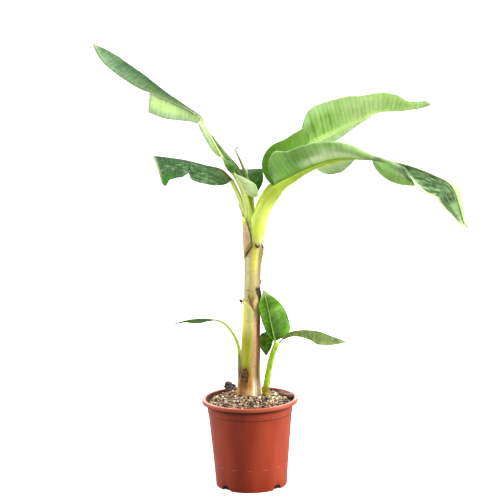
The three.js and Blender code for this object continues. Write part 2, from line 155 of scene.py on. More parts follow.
LEAVES = {
    "leaf_right_low": {
        "midrib": [(0.057, -0.005, 0.59), (0.073, -0.007, 0.601), (0.089, -0.01, 0.609),
            (0.115, -0.02, 0.624), (0.144, -0.026, 0.637), (0.173, -0.031, 0.646), (0.201, -0.036, 0.649),
            (0.254, -0.048, 0.646), (0.302, -0.056, 0.638), (0.351, -0.062, 0.62), (0.391, -0.066, 0.597),
            (0.406, -0.07, 0.558), (0.416, -0.072, 0.524), (0.4245, -0.072, 0.5165)],
        "rib": (0.0155, 0.0014),
        "strips": [
            strip(RIGHT, (0.01, 0.066, 56, 90, 1.2), (0.07, 0.069, 58, 92, 1.2),
                (0.14, 0.052, 62, 98, 1.5), (0.2, 0.05, 58, 98, 1.5), (0.29, 0.043, 48, 102, 1.5),
                (0.36, 0.037, 20, 130, 1.2), (0.43, 0.024, -20, 150), (0.465, 0.016, -60, 150, 0.8),
                (0.51, 0.018, -75, 150), (0.555, 0.046, -85, 150, 1.4), (0.59, 0.054, -85, 140, 1.5),
                (0.625, 0.044, -85, 110, 2.6), (0.66, 0.041, -82, 20, 3), (0.72, 0.039, -80, -60, 2),
                (0.86, 0.034, -76, -78), (1, 0.024, -75, -80), grow=0.1, fade=0.16, lean=(-2, 4)),
            strip(LEFT, (0, 0.069, 64, 84), (0.1, 0.08, 62, 82), (0.195, 0.08, 62, 82), grow=0.08,
                fade=0.008, lean=(-14, 10)),
            strip(LEFT, (0.2, 0.036, -15, -84), (0.38, 0.036, -30, -88), grow=0.06, fade=0.09,
                lean=(0, 6)),
            strip(LEFT, (0.45, 0.052, -32, -84), (0.6, 0.046, -45, -88), (0.69, 0.032, -45, -88),
                (0.78, 0.012, 20, 0), (0.84, 0.013, 65, 50), (1, 0.012, 80, 70), grow=0.14, fade=0.2,
                lean=(0, 8)),
        ],
    },
    "leaf_right_high": {
        "midrib": [(0.074, 0.048, 0.622), (0.093, 0.054, 0.642), (0.127, 0.066, 0.665),
            (0.189, 0.084, 0.691), (0.242, 0.099, 0.715), (0.268, 0.106, 0.724), (0.318, 0.115, 0.726),
            (0.359, 0.123, 0.731), (0.373, 0.126, 0.735)],
        "rib": (0.006, 0.0012),
        "strips": [
            strip(RIGHT, (0.175, 0.06, 60, 84), (0.27, 0.074, 62, 88), (0.45, 0.068, 60, 86),
                (0.62, 0.046, 60, 84), (0.75, 0.037, 56, 80), (0.86, 0.019, 50, 76), (1, 0.015, 30, 62),
                grow=0.14, fade=0.05, lean=(0, 14)),
            strip(LEFT, (0.1, 0.05, 0, -45), (0.28, 0.04, -20, -60), (0.45, 0.034, -16, -50),
                (0.6, 0.03, -10, -34), (0.7, 0.024, 0, -12), (1, 0.014, 5, -5), grow=0.14, fade=0.3,
                lean=(0, 14)),
        ],
    },
    "leaf_left_high": {
        "midrib": [(-0.001, 0.012, 0.579), (-0.0095, 0.014, 0.598), (-0.025, 0.018, 0.6235),
            (-0.044, 0.026, 0.651), (-0.061, 0.036, 0.681), (-0.0755, 0.044, 0.708),
            (-0.088, 0.049, 0.728), (-0.105, 0.054, 0.739), (-0.164, 0.07, 0.766), (-0.222, 0.088, 0.796),
            (-0.27, 0.108, 0.829), (-0.286, 0.116, 0.849), (-0.296, 0.124, 0.8705)],
        "rib": (0.0075, 0.0012),
        "strips": [
            strip(RIGHT, (0.05, 0.028, 30, 10), (0.14, 0.027, 20, 0), (0.335, 0.026, 0, -20), grow=0.03,
                fade=0.2, lean=(0, 8)),
            strip(RIGHT, (0.36, 0.032, -8, -20), (0.5, 0.05, -4, 2), (0.6, 0.058, -2, 8),
                (0.75, 0.062, 6, 14), (0.87, 0.057, 6, 14), (1, 0.044, 6, 14), grow=0.35, fade=0.12,
                lean=(0, 8)),
            strip(LEFT, (0, 0.024, 50, 120), (0.1, 0.03, 50, 120), grow=0.05, fade=0.03, lean=(-52, -42)),
            strip(LEFT, (0.1, 0.036, -40, 120), (0.19, 0.03, -40, 120), grow=0.03, fade=0.05,
                lean=(0, 0)),
            strip(LEFT, (0.19, 0.012, -35, -85), (0.38, 0.012, -35, -90), grow=0.1, fade=0,
                lean=(-20, -26)),
            strip(LEFT, (0.382, 0.011, -30, -90), (0.44, 0.022, -12, -92), (0.5, 0.034, -4, -92),
                (0.57, 0.045, 0, -92), (0.645, 0.048, 0, -92), grow=0.01, fade=0.01, lean=(-26, -20)),
            strip(LEFT, (0.655, 0.024, -140, -178), (1, 0.02, -140, -178), grow=0.1, fade=0.3,
                lean=(0, 6)),
        ],
    },
    "leaf_left_low": {
        "midrib": [(-0.026, 0.026, 0.605), (-0.045, 0.024, 0.625), (-0.077, 0.01, 0.6365),
            (-0.117, -0.004, 0.649), (-0.176, -0.018, 0.66)],
        "rib": (0.005, 0.0016),
        "strips": [
            strip(LEFT, (0, 0.03, -50, -85), (0.2, 0.036, -58, -88), (0.44, 0.037, -60, -88),
                (0.53, 0.034, -60, -88), (0.57, 0.024, -60, -88), grow=0.12, fade=0, lean=(0, -4)),
            strip(LEFT, (0.57, 0.023, -60, -88), (0.66, 0.033, -60, -88), (0.85, 0.042, -60, -88),
                (0.96, 0.056, -60, -88), (1, 0.05, -60, -88), grow=0, fade=0, lean=(-4, -23)),
            strip(RIGHT, (0.04, 0.016, -50, -70), (0.3, 0.036, -30, -52), (0.55, 0.03, -24, -40),
                (1, 0.042, -34, -54), grow=0.1, fade=0.15, lean=(0, 0)),
        ],
    },
    "leaf_back": {
        "midrib": [(0.011, 0.038, 0.571), (0.009, 0.062, 0.588), (0.005, 0.1, 0.599),
            (0.004, 0.15, 0.605), (0.002, 0.19, 0.606)],
        "rib": (0.0045, 0.0014),
        "strips": [
            strip(LEFT, (0, 0.03, 45, 20), (0.5, 0.036, 40, 10), (1, 0.03, 20, -20), grow=0.2, fade=0.5,
                lean=(0, 10)),
            strip(RIGHT, (0, 0.028, 45, 20), (0.5, 0.034, 40, 10), (1, 0.03, 20, -20), grow=0.2, fade=0.5,
                lean=(0, 10)),
        ],
    },
    "shoot_right_leaf_upright": {
        "midrib": [(0.053, 0.001, 0.283), (0.048, 0.005, 0.305), (0.043, 0.008, 0.332),
            (0.038, 0.01, 0.358), (0.031, 0.014, 0.39)],
        "rib": (0.0026, 0.001),
        "strips": [
            strip(LEFT, (0.04, 0.01, -30, -50), (0.3, 0.016, -30, -50), (0.6, 0.02, -30, -50),
                (0.8, 0.017, -30, -50), (1, 0.012, -30, -50), grow=0.3, fade=0.3, lean=(0, 4)),
            strip(RIGHT, (0.04, 0.041, 10, 24), (0.3, 0.046, 10, 28), (0.55, 0.045, 10, 34),
                (0.72, 0.037, 10, 38), (1, 0.022, 10, 42), grow=0.16, fade=0.5, lean=(0, 12)),
        ],
    },
    "shoot_right_leaf_side": {
        "midrib": [(0.06, 0.001, 0.284), (0.078, -0.001, 0.303), (0.101, -0.004, 0.309),
            (0.136, -0.008, 0.307), (0.165, -0.01, 0.296), (0.193, -0.012, 0.285)],
        "rib": (0.0026, 0.001),
        "strips": [
            strip(RIGHT, (0.06, 0.012, -38, -68), (0.3, 0.014, -40, -70), (0.45, 0.019, -42, -72),
                (0.62, 0.027, -45, -75), (1, 0.027, -45, -75), grow=0.35, fade=0.4, lean=(0, 8)),
            strip(LEFT, (0.06, 0.014, -10, -40), (0.5, 0.016, -5, -35), (1, 0.018, 0, -25), grow=0.3,
                fade=0.45, lean=(0, 8)),
        ],
    },
    "shoot_right_leaf_back": {
        "midrib": [(0.054, 0.007, 0.284), (0.045, 0.016, 0.3), (0.037, 0.026, 0.301),
            (0.034, 0.033, 0.281), (0.034, 0.039, 0.249)],
        "rib": (0.0024, 0.0009),
        "strips": [
            strip(LEFT, (0.1, 0.013, 10, -20), (1, 0.015, 10, -20), grow=0.3, fade=0.35, lean=(0, 4)),
            strip(RIGHT, (0.1, 0.013, 10, -20), (1, 0.017, 10, -20), grow=0.3, fade=0.4, lean=(0, 4)),
        ],
    },
    "shoot_left_leaf": {
        "midrib": [(-0.062, 0.04, 0.324), (-0.084, 0.042, 0.3265), (-0.116, 0.044, 0.325),
            (-0.158, 0.046, 0.314)],
        "rib": (0.0024, 0.001),
        "strips": [
            strip(LEFT, (0.02, 0.005, -20, -50), (0.2, 0.008, -20, -50), (0.32, 0.012, -20, -50),
                (0.5, 0.011, -20, -50), (0.68, 0.006, -20, -50), (1, 0.005, -20, -50), grow=0.3, fade=0.5,
                lean=(0, 6)),
            strip(RIGHT, (0.02, 0.005, 0, -20), (0.4, 0.009, 0, -20), (1, 0.006, 0, -20), grow=0.3,
                fade=0.5, lean=(0, 6)),
        ],
    },
}
strip_count = sum(len(leaf["strips"]) for leaf in LEAVES.values())
print(len(LEAVES), "leaves with", strip_count, "strips of blade")

# %% [markdown]
# ## Smooth routes
# A stem or a midrib could be a Blender curve, but a blade also has to ask where its midrib is, which way
# it runs and where its top is. So a route is a small class that answers those questions. It passes
# through its points without overshooting where they are close together, and is read by share of length.

# %% A route that can be asked for its frame
class Route:
    """A smooth line through points. Shares run from 0 at the foot to 1 at the tip."""

    FINE = 48

    def __init__(self, points):
        points = [Vector(p) for p in points]
        padded = [2 * points[0] - points[1], *points, 2 * points[-1] - points[-2]]
        self.places = []
        for before, start, end, after in zip(padded, padded[1:], padded[2:], padded[3:]):
            span = (before, start, end, after)
            self.places += [self.on_span(*span, k / self.FINE) for k in range(self.FINE)]
        self.places.append(points[-1])
        self.reached = [0.0]
        for a, b in zip(self.places, self.places[1:]):
            self.reached.append(self.reached[-1] + (b - a).length)
        self.length = self.reached[-1]

    @staticmethod
    def on_span(before, start, end, after, t):
        """A point between start and end: a cubic whose pace follows the gaps between the points."""
        gaps = [max((b - a).length ** 0.5, 1e-4) for a, b in ((before, start), (start, end), (end, after))]
        leave = (start - before) / gaps[0] - (end - before) / (gaps[0] + gaps[1]) + (end - start) / gaps[1]
        arrive = (end - start) / gaps[1] - (after - start) / (gaps[1] + gaps[2]) + (after - end) / gaps[2]
        leave, arrive = leave * gaps[1], arrive * gaps[1]
        square, cube = t * t, t * t * t
        return ((2 * cube - 3 * square + 1) * start + (cube - 2 * square + t) * leave
            + (3 * square - 2 * cube) * end + (cube - square) * arrive)

    def at(self, share):
        """The place at a share of the length. Outside 0 to 1 the route runs straight on."""
        if share < 0:
            backward = (self.places[0] - self.places[1]).normalized()
            return self.places[0] + backward * -share * self.length
        if share > 1:
            forward = (self.places[-1] - self.places[-2]).normalized()
            return self.places[-1] + forward * (share - 1) * self.length
        goal = share * self.length
        low, high = 0, len(self.reached) - 1
        while high - low > 1:
            middle = (low + high) // 2
            low, high = (middle, high) if self.reached[middle] <= goal else (low, middle)
        span = self.reached[high] - self.reached[low]
        return self.places[low].lerp(self.places[high], (goal - self.reached[low]) / span)

    def frame(self, share, reference=UP, reach=0.006):
        """Centre, direction, right-hand side and top. The top lies towards the reference."""
        along = (self.at(share + reach) - self.at(share - reach)).normalized()
        right = along.cross(reference).normalized()
        return self.at(share), along, right, right.cross(along)


trunk_route = Route(STEMS["trunk"]["route"])
print("the trunk is", round(trunk_route.length, 3), "m long")

# %% Values between stations
def clamp(value, low=0.0, high=1.0):
    return max(low, min(high, value))


def ramp(value, start, end):
    """0 before start, 1 after end, and smooth between. Start may be the larger."""
    t = clamp((value - start) / (end - start))
    return t * t * (3 - 2 * t)


def mix(a, b, share):
    return a + (b - a) * share


def between(stations, share, column):
    """A smooth value between stations, with no overshoot."""
    last = len(stations) - 1
    k = 0
    while k < last - 1 and share > stations[k + 1][0]:
        k += 1

    def slope(i):
        return (stations[i + 1][column] - stations[i][column]) / (stations[i + 1][0] - stations[i][0])

    def tangent(i):
        if i == 0:
            return slope(0)
        if i == last:
            return slope(last - 1)
        before, after = slope(i - 1), slope(i)
        return 2 * before * after / (before + after) if before * after > 0 else 0.0

    step = stations[k + 1][0] - stations[k][0]
    t = clamp((share - stations[k][0]) / step)
    t2, t3 = t * t, t * t * t
    return ((2 * t3 - 3 * t2 + 1) * stations[k][column] + (t3 - 2 * t2 + t) * step * tangent(k)
        + (3 * t2 - 2 * t3) * stations[k + 1][column] + (t3 - t2) * step * tangent(k + 1))


def evenly(values):
    """Stations at equal shares of a route."""
    return [(k / (len(values) - 1), value) for k, value in enumerate(values)]


def wobble(*place):
    """Smooth noise from -1 to 1 at a place in up to three numbers."""
    return noise.noise(Vector((*place, 0.0, 0.0)[:3]))


TRUNK_RADII = evenly(STEMS["trunk"]["radii"])
print("half way up the trunk is", round(2 * between(TRUNK_RADII, 0.5, 1), 4), "m thick")

# %% [markdown]
# ## Shader maths written as Python
# A material on this plant mixes many patterns, and Math nodes placed by hand are hard to read. The class
# below wraps a node's socket, so that an expression such as 1 - mask adds its own Math node. Any other
# node comes from one method, which takes the node's type, its settings and what feeds its sockets.

# %% A socket that does sums
SMOOTH = {"interpolation_type": "SMOOTHSTEP"}


class Signal:
    """A number or colour that varies over a surface."""

    def __init__(self, recipe, socket):
        self.recipe = recipe
        self.socket = socket

    def sum(self, operation, *others):
        feeds = dict(enumerate((self, *others)))
        return self.recipe.node("ShaderNodeMath", {"operation": operation}, feeds)

    def __add__(self, other):
        return self.sum("ADD", other)

    __radd__ = __add__

    def __mul__(self, other):
        return self.sum("MULTIPLY", other)

    __rmul__ = __mul__

    def __sub__(self, other):
        return self.sum("SUBTRACT", other)

    def __rsub__(self, other):
        return self.recipe.node("ShaderNodeMath", {"operation": "SUBTRACT"}, {0: other, 1: self})

    def __pow__(self, other):
        return self.sum("POWER", other)

    def __abs__(self):
        return self.sum("ABSOLUTE")

    def fraction(self):
        return self.sum("FRACT")

    def ramp(self, start, end, low=0.0, high=1.0):
        """Low before start, high after end, and smooth between."""
        feeds = dict(enumerate((self, start, end, low, high)))
        return self.recipe.node("ShaderNodeMapRange", SMOOTH, feeds)


print("a Signal answers to + - * ** and abs")

# %% A material while it is being written
class Recipe:
    """A material while it is being written."""

    def __init__(self, name):
        self.material = bpy.data.materials.new(name)
        self.material.use_nodes = True
        self.tree = self.material.node_tree
        self.tree.nodes.clear()

    def node(self, kind, settings=None, feeds=None, out=0):
        made = self.tree.nodes.new(kind)
        for setting, value in (settings or {}).items():
            setattr(made, setting, value)
        for name, value in (feeds or {}).items():
            if isinstance(value, Signal):
                self.tree.links.new(value.socket, made.inputs[name])
            else:
                made.inputs[name].default_value = value
        return Signal(self, made.outputs[out])

    def blend(self, factor, first, second, way="MIX"):
        """A colour between two colours."""
        settings = {"data_type": "RGBA", "blend_type": way}
        return self.node("ShaderNodeMix", settings, {0: factor, 6: first, 7: second}, out=2)

    def place(self):
        """Where a point is on the piece, in metres."""
        return self.node("ShaderNodeTexCoord", out="Object")

    def across(self):
        """The piece's own two surface coordinates, as two numbers."""
        uv = self.node("ShaderNodeUVMap", {"uv_map": "UVMap"})
        apart = self.node("ShaderNodeSeparateXYZ", None, {0: uv})
        return apart, Signal(self, apart.socket.node.outputs[1])

    def painted(self, name):
        """A painted attribute as a colour, and its three channels as numbers."""
        colour = self.node("ShaderNodeAttribute", {"attribute_name": name})
        apart = self.node("ShaderNodeSeparateColor", None, {0: colour})
        return colour, [Signal(self, apart.socket.node.outputs[k]) for k in range(3)]

    def point(self, x=0.0, y=0.0, z=0.0):
        return self.node("ShaderNodeCombineXYZ", None, {0: x, 1: y, 2: z})

    def stretched(self, vector, scale):
        return self.node("ShaderNodeVectorMath", {"operation": "MULTIPLY"}, {0: vector, 1: scale})

    def cloud(self, vector, scale, detail=3.0, roughness=0.55):
        return self.node("ShaderNodeTexNoise", None,
            {"Vector": vector, "Scale": scale, "Detail": detail, "Roughness": roughness})

    def bump(self, height, distance, strength=1.0):
        feeds = {"Height": height, "Distance": distance, "Strength": strength}
        return self.node("ShaderNodeBump", None, feeds)

    def principled(self, **feeds):
        feeds = {name.replace("_", " "): value for name, value in feeds.items()}
        return self.node("ShaderNodeBsdfPrincipled", None, feeds)

    def finish(self, shader):
        output = self.tree.nodes.new("ShaderNodeOutputMaterial")
        self.tree.links.new(shader.socket, output.inputs["Surface"])
        return self.material


def colour(red, green, blue):
    """A colour as seen on a screen, 0 to 255, made linear for the shader."""
    shares = [c / 255 for c in (red, green, blue)]
    return tuple(s / 12.92 if s <= 0.04045 else ((s + 0.055) / 1.055) ** 2.4 for s in shares) + (1.0,)


class Palette(dict):
    """Colours by name. A palette's leaf colour is read as palette.leaf."""

    def __init__(self, **shades):
        super().__init__({name: colour(*shade) for name, shade in shades.items()})

    def __getattr__(self, name):
        return self[name]


print("mid grey is", round(colour(128, 128, 128)[0], 3))

# %% [markdown]
# ## Making meshes
# Three shapes cover the whole plant. A turned shape is a profile that is spun. A tube is a flat grid
# rolled round a route. A blade is a flat grid bent by the leaf rule. Each starts from one of bmesh's own
# operators and is then moved point by point, so that its faces and its UV map come ready made.

# %% From a bmesh to a finished piece
def to_object(name, bm):
    """Turns a bmesh into an object in the scene."""
    mesh = bpy.data.meshes.new(name)
    bm.to_mesh(mesh)
    bm.free()
    made = bpy.data.objects.new(name, mesh)
    bpy.context.scene.collection.objects.link(made)
    return made


def piece(name, bm, materials, nodes, smooth=True):
    """A finished piece, which rides on the plant and stands for CAD nodes."""
    made = to_object(name, bm)
    for material in materials:
        made.data.materials.append(material)
    for polygon in made.data.polygons:
        polygon.use_smooth = smooth
    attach(made, "root")
    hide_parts(*nodes)
    print(name, len(made.data.polygons), "faces")
    return made


def thicken(made, thickness, underside=0):
    """Gives a sheet its thickness. The underside's material stands so many places later in its list."""
    shell = made.modifiers.new("thickness", "SOLIDIFY")
    shell.thickness = thickness
    shell.offset = 0
    shell.material_offset = underside


def new_mesh():
    bm = bmesh.new()
    bm.loops.layers.uv.new("UVMap")
    bm.verts.layers.float_color.new("tone")
    return bm


def bent_grid(bm, across, along, rule, paint, spread):
    """Adds a grid. Moves each point to rule(across, along) and paints it, both read from 0 to 1."""
    uv = bm.loops.layers.uv["UVMap"]
    tone = bm.verts.layers.float_color["tone"]
    made = bmesh.ops.create_grid(bm, x_segments=across, y_segments=along, size=0.5, calc_uvs=True)["verts"]
    faces = {face for vert in made for face in vert.link_faces}
    for face in faces:
        for loop in face.loops:
            loop[uv].uv = (loop[uv].uv.y * spread[0], loop[uv].uv.x * spread[1])
    for vert in made:
        place = (vert.co.x + 0.5, vert.co.y + 0.5)
        vert.co = rule(*place)
        vert[tone] = (*paint(*place), 1.0)
    return made, faces


def gutter_section(foot, tip):
    """A round section whose top is pressed in as a groove, more or less from foot to tip."""
    def section(turn, along):
        x, y = math.cos(turn), math.sin(turn)
        return x, y * (1 - mix(foot, tip, ramp(along, 0.0, 1.0)) * (1 - x * x)) if y > 0 else y

    return section


ROUND = gutter_section(0.0, 0.0)


def tube(bm, route, radii, paint, sides, step, section=ROUND, reference=UP):
    """Adds a closed tube along a route. Its section may change on the way."""
    stations = evenly(radii)
    rings = max(4, round(route.length / step))
    frames = [route.frame(k / rings, reference) for k in range(rings + 1)]

    def rule(around, along):
        centre, _, right, top = frames[round(along * rings)]
        x, y = section(2 * math.pi * around, along)
        return centre + (right * x + top * y) * between(stations, along, 1)

    def painting(around, along):
        return paint(2 * math.pi * around, along)

    made, _ = bent_grid(bm, sides, rings, rule, painting, (route.length, 1.0))
    bmesh.ops.remove_doubles(bm, verts=made, dist=1e-6)
    bmesh.ops.holes_fill(bm, edges=[edge for edge in bm.edges if edge.is_boundary], sides=0)
    bmesh.ops.recalc_face_normals(bm, faces=bm.faces)


print("three kinds of shape are ready")

# %% [markdown]
# ## Finishes
# The pot is injection-moulded plastic, so it needs a soft gloss and faint flow marks, not a grain. Shade is
# painted under its rim, under its step and inside its lip, with soil dust in the lip, and the rim is
# painted lighter as a highlight. Leaves are thin, so light passes through them: a Translucent shader is
# mixed into the glossy one. Their veins follow the blade's own coordinates, metres along the midrib and the
# share of the way to the margin. Colour that has its place on a piece, such as a dry sheath, is painted on
# its points in an attribute called tone, and the material reads it. The tone also carries painted light and
# shade, where a part must look lighter or darker than the lamps make it.

# %% Pot plastic
def pot_finish():
    r = Recipe("pot_plastic")
    place = r.place()
    apart = r.node("ShaderNodeSeparateXYZ", None, {0: place})
    x, y, height = [Signal(r, apart.socket.node.outputs[k]) for k in range(3)]
    flow = r.cloud(r.stretched(place, (1, 1, 0.25)), 26, 4)
    fine = r.cloud(place, 900, 2)
    base = r.blend(flow.ramp(0.3, 0.7), colour(150, 52, 26), colour(166, 64, 36))
    # Painted shade: a dark band on the wall just under the rim, and a dark line under the step, where its
    # shadow falls.
    corner = height.ramp(POT_RIM_UNDERSIDE - 0.009, POT_RIM_UNDERSIDE - 0.003)
    corner = corner * height.ramp(POT_RIM_UNDERSIDE + 0.0012, POT_RIM_UNDERSIDE + 0.0004)
    groove = abs(height - (POT_BAND_HEIGHT - 0.0012)).ramp(0.0016, 0.0004)
    # Painted highlight: the rim is painted lighter than the wall, where it catches the light.
    rim = height.ramp(POT_RIM_UNDERSIDE + 0.001, POT_RIM_UNDERSIDE + 0.003)
    base = r.blend(rim * 0.8, base, colour(174, 84, 54))
    base = r.blend(corner * 0.92 + groove * 0.6, base, colour(52, 17, 11))
    turn = y.sum("ARCTAN2", x) * 2.29 + 0.54
    dashes = turn.fraction().ramp(0.68, 0.71)
    moulded = dashes * abs(height - POT_MARK_HEIGHT - flow * 0.002).ramp(0.0008, 0.0004)
    base = r.blend(moulded * 0.6, base, colour(214, 120, 96))
    # Painted shade inside the lip, above the mix, speckled like soil dust, which also makes it rougher.
    slope = (POT_NECK_RADIUS - POT_FOOT_RADIUS) / POT_RIM_UNDERSIDE
    outside = (x * x + y * y) ** 0.5 - height * slope - POT_FOOT_RADIUS
    lip_shade_and_soil = outside.ramp(0.0018, 0.0010) * height.ramp(0.1675, 0.1685)
    soil = r.cloud(place, 320, 4)
    base = r.blend(lip_shade_and_soil * soil.ramp(0.25, 0.6, 0.7, 0.95), base, colour(70, 36, 26))
    rough = flow.ramp(0.3, 0.7, 0.34, 0.44) + lip_shade_and_soil * 0.3
    shader = r.principled(Base_Color=base, Roughness=rough, Specular_IOR_Level=0.27,
        Normal=r.bump(fine * 0.4 + flow, 0.0003, 0.35))
    return r.finish(shader)


POT_PLASTIC = pot_finish()
print(POT_PLASTIC.name, len(POT_PLASTIC.node_tree.nodes), "nodes")

# %% Potting mix: dark peat under plain chips
def soil_finish():
    r = Recipe("peat")
    place = r.place()
    grain = r.cloud(place, 420, 5, 0.7)
    base = r.blend(grain.ramp(0.35, 0.7), colour(24, 16, 11), colour(70, 50, 34))
    shader = r.principled(Base_Color=base, Roughness=0.95, Normal=r.bump(grain, 0.002, 0.8))
    return r.finish(shader)


def plain_finish(name, shade):
    """One plain colour. Small joined chips get several of these, dealt out by chance."""
    r = Recipe(name)
    return r.finish(r.principled(Base_Color=shade, Roughness=0.85))


def bark_finish(name, dark, pale, scale):
    r = Recipe(name)
    place = r.place()
    layers = r.cloud(r.stretched(place, (1, 1, 3)), scale, 5, 0.65)
    specks = r.cloud(place, scale * 4, 3, 0.6)
    base = r.blend(layers.ramp(0.38, 0.68), dark, pale)
    base = r.blend(specks.ramp(0.6, 0.72) * 0.5, base, colour(170, 160, 148))
    relief = r.bump(layers + specks * 0.4, 0.0015, 0.9)
    shader = r.principled(Base_Color=base, Roughness=0.82, Normal=relief)
    return r.finish(shader)


PEAT = soil_finish()
CHIP_SHADES = Palette(
    chip_pale=(196, 172, 138), chip_tan=(142, 112, 82), chip_sand=(166, 140, 106),
    chip_brown=(88, 60, 42), chip_dark=(40, 27, 20), chip_cream=(246, 234, 210),
)
CHIPS = [plain_finish(name, shade) for name, shade in CHIP_SHADES.items()]
BARK_GREY = bark_finish("bark_grey", colour(52, 44, 40), colour(126, 116, 108), 190)
BARK_RED = bark_finish("bark_red", colour(72, 38, 30), colour(152, 104, 84), 170)
print(len(CHIPS), "chip colours")

# %% Sheaths and stalks
def sheath_finish():
    """Wrapped leaf sheaths. Their colours are painted, and fibres run along them."""
    r = Recipe("sheath")
    along, around = r.across()
    paint, _ = r.painted("tone")
    fibres = r.cloud(r.point(along * 14, around * 60), 3.2, 4, 0.6)
    fine = r.cloud(r.point(along * 30, around * 190), 3.0, 3, 0.6)
    stain = r.cloud(r.place(), 130, 5, 0.65)
    base = r.blend(fibres.ramp(0.4, 0.66) * 0.30, paint, colour(250, 240, 190), "SOFT_LIGHT")
    base = r.blend(fine.ramp(0.5, 0.72) * 0.42, base, colour(128, 96, 58), "MULTIPLY")
    base = r.blend(fibres.ramp(0.44, 0.3) * 0.30, base, colour(150, 128, 84), "MULTIPLY")
    base = r.blend(stain.ramp(0.58, 0.68) * 0.5, base, colour(122, 84, 52), "MULTIPLY")
    rough = fine.ramp(0.3, 0.7, 0.34, 0.55)
    shader = r.principled(Base_Color=base, Roughness=rough, Specular_IOR_Level=0.18,
        Normal=r.bump(fibres * 0.7 + fine * 0.5, 0.0009, 0.5))
    return r.finish(shader)


def stalk_finish(name, glow, share):
    """A juicy leaf stalk: painted colour, fine lengthwise fibres, and some light coming through."""
    r = Recipe(name)
    along, around = r.across()
    paint, _ = r.painted("tone")
    fibres = r.cloud(r.point(along * 8, around * 42), 3.0, 3, 0.55)
    flecks = r.cloud(r.point(along * 90, around * 26), 3.0, 4, 0.6)
    base = r.blend(fibres.ramp(0.4, 0.7) * 0.32, paint, colour(150, 176, 60), "MULTIPLY")
    base = r.blend(flecks.ramp(0.62, 0.72) * 0.35, base, colour(140, 132, 50), "MULTIPLY")
    rough = fibres.ramp(0.3, 0.7, 0.32, 0.48)
    shader = r.principled(Base_Color=base, Roughness=rough, Specular_IOR_Level=0.35,
        Normal=r.bump(fibres, 0.0006, 0.35))
    through = r.node("ShaderNodeBsdfTranslucent", None, {"Color": glow})
    return r.finish(r.node("ShaderNodeMixShader", None, {0: share, 1: shader, 2: through}))


SHEATH = sheath_finish()
STALK = stalk_finish("stalk", colour(240, 248, 140), 0.25)
THIN_STALK = stalk_finish("thin_stalk", colour(248, 252, 170), 0.42)
print(SHEATH.name, "and", STALK.name)

# %% Leaf blades
def blade_finish(name, gloss, shine, glow, share, relief):
    """One face of a banana leaf: painted colour, fine cross veins, blotches, and light coming through."""
    r = Recipe(name)
    along, out = r.across()
    paint, (_, green, _) = r.painted("tone")
    bands = r.cloud(r.point(along * 95, out * 0.9), 1.0, 3, 0.5)
    lines = r.cloud(r.point(along * 520, out * 1.3), 1.0, 2, 0.5)
    blotch = r.cloud(r.place(), 75, 4, 0.6)
    ribs = abs((along * 118 + bands * 0.5).fraction() - 0.5).ramp(0.1, 0.0)
    base = r.blend(bands.ramp(0.45, 0.72) * 0.30, paint, colour(120, 150, 90), "MULTIPLY")
    base = r.blend(blotch.ramp(0.5, 0.72) * 0.22, base, colour(140, 165, 120), "MULTIPLY")
    pale = blotch.ramp(0.5, 0.3) * 0.12 + ribs * 0.10 + lines.ramp(0.55, 0.8) * 0.10
    base = r.blend(pale * green.ramp(0.02, 0.3, 0.0, 1.0), base, colour(214, 232, 190), "SCREEN")
    rough = lines.ramp(0.3, 0.7, gloss, gloss + 0.12)
    shader = r.principled(Base_Color=base, Roughness=rough, Specular_IOR_Level=shine,
        Normal=r.bump(ribs * 0.5 + lines * 0.2 + bands * 0.6, relief, 0.35))
    through = r.node("ShaderNodeBsdfTranslucent", None, {"Color": glow})
    passing = green.ramp(0.1, 0.6, 0.15, 1.0) * share
    return r.finish(r.node("ShaderNodeMixShader", None, {0: passing, 1: shader, 2: through}))


LEAF_UPPER = blade_finish("leaf_upper", 0.45, 0.08, colour(186, 214, 104), 0.30, 0.0009)
LEAF_UNDER = blade_finish("leaf_under", 0.50, 0.12, colour(186, 214, 110), 0.30, 0.0012)
LEAF_MATT = blade_finish("leaf_matt", 0.62, 0.02, colour(160, 206, 90), 0.30, 0.0009)
LEAF_SHADED = blade_finish("leaf_shaded", 0.60, 0.02, colour(70, 130, 24), 0.12, 0.0009)
YOUNG_UPPER = blade_finish("young_upper", 0.42, 0.06, colour(130, 190, 30), 0.15, 0.0009)
YOUNG_UNDER = blade_finish("young_under", 0.45, 0.06, colour(140, 195, 40), 0.15, 0.0009)
print("leaf finishes made")

# %% [markdown]
# ## The nursery pot
# The real pot is moulded in one shot: a thin tapering wall, a shallow step where a machine grips it, a
# rolled rim, and four drain notches in its foot. A cylinder with a Solidify modifier would give the wall
# but not the rim, so the whole section is drawn once and spun. The notches are cut by a Boolean with four
# short drums, and a Bevel softens every edge, as a mould does.

# %% A turned shape
def spin_profile(bm, profile, steps=128):
    """Spins (radius, height) points a full turn about the z axis and closes the poles."""
    verts = [bm.verts.new((radius, 0, height)) for radius, height in profile]
    edges = [bm.edges.new(pair) for pair in zip(verts, verts[1:])]
    bmesh.ops.spin(bm, geom=verts + edges, cent=(0, 0, 0), axis=(0, 0, 1), angle=2 * math.pi, steps=steps,
        use_merge=True, use_duplicate=False)
    bmesh.ops.remove_doubles(bm, verts=bm.verts, dist=1e-6)
    bmesh.ops.recalc_face_normals(bm, faces=bm.faces)


def arc(centre, radius, start, end, points):
    """Points on a rounded corner, from one angle in degrees to another."""
    turns = [math.radians(mix(start, end, k / (points - 1))) for k in range(points)]
    return [(centre[0] + radius * math.cos(t), centre[1] + radius * math.sin(t)) for t in turns]


def wall_radius(height):
    """The pot's outer radius below the rim, without the step."""
    return mix(POT_FOOT_RADIUS, POT_NECK_RADIUS, height / POT_RIM_UNDERSIDE)


def inner_radius(height):
    """The pot's inner radius below its lip."""
    return mix(POT_FOOT_RADIUS, POT_NECK_RADIUS, height / (POT_HEIGHT - POT_LIP_DEPTH)) - POT_WALL


print("the pot is", round(2 * wall_radius(POT_BAND_HEIGHT), 4), "m wide at its step")

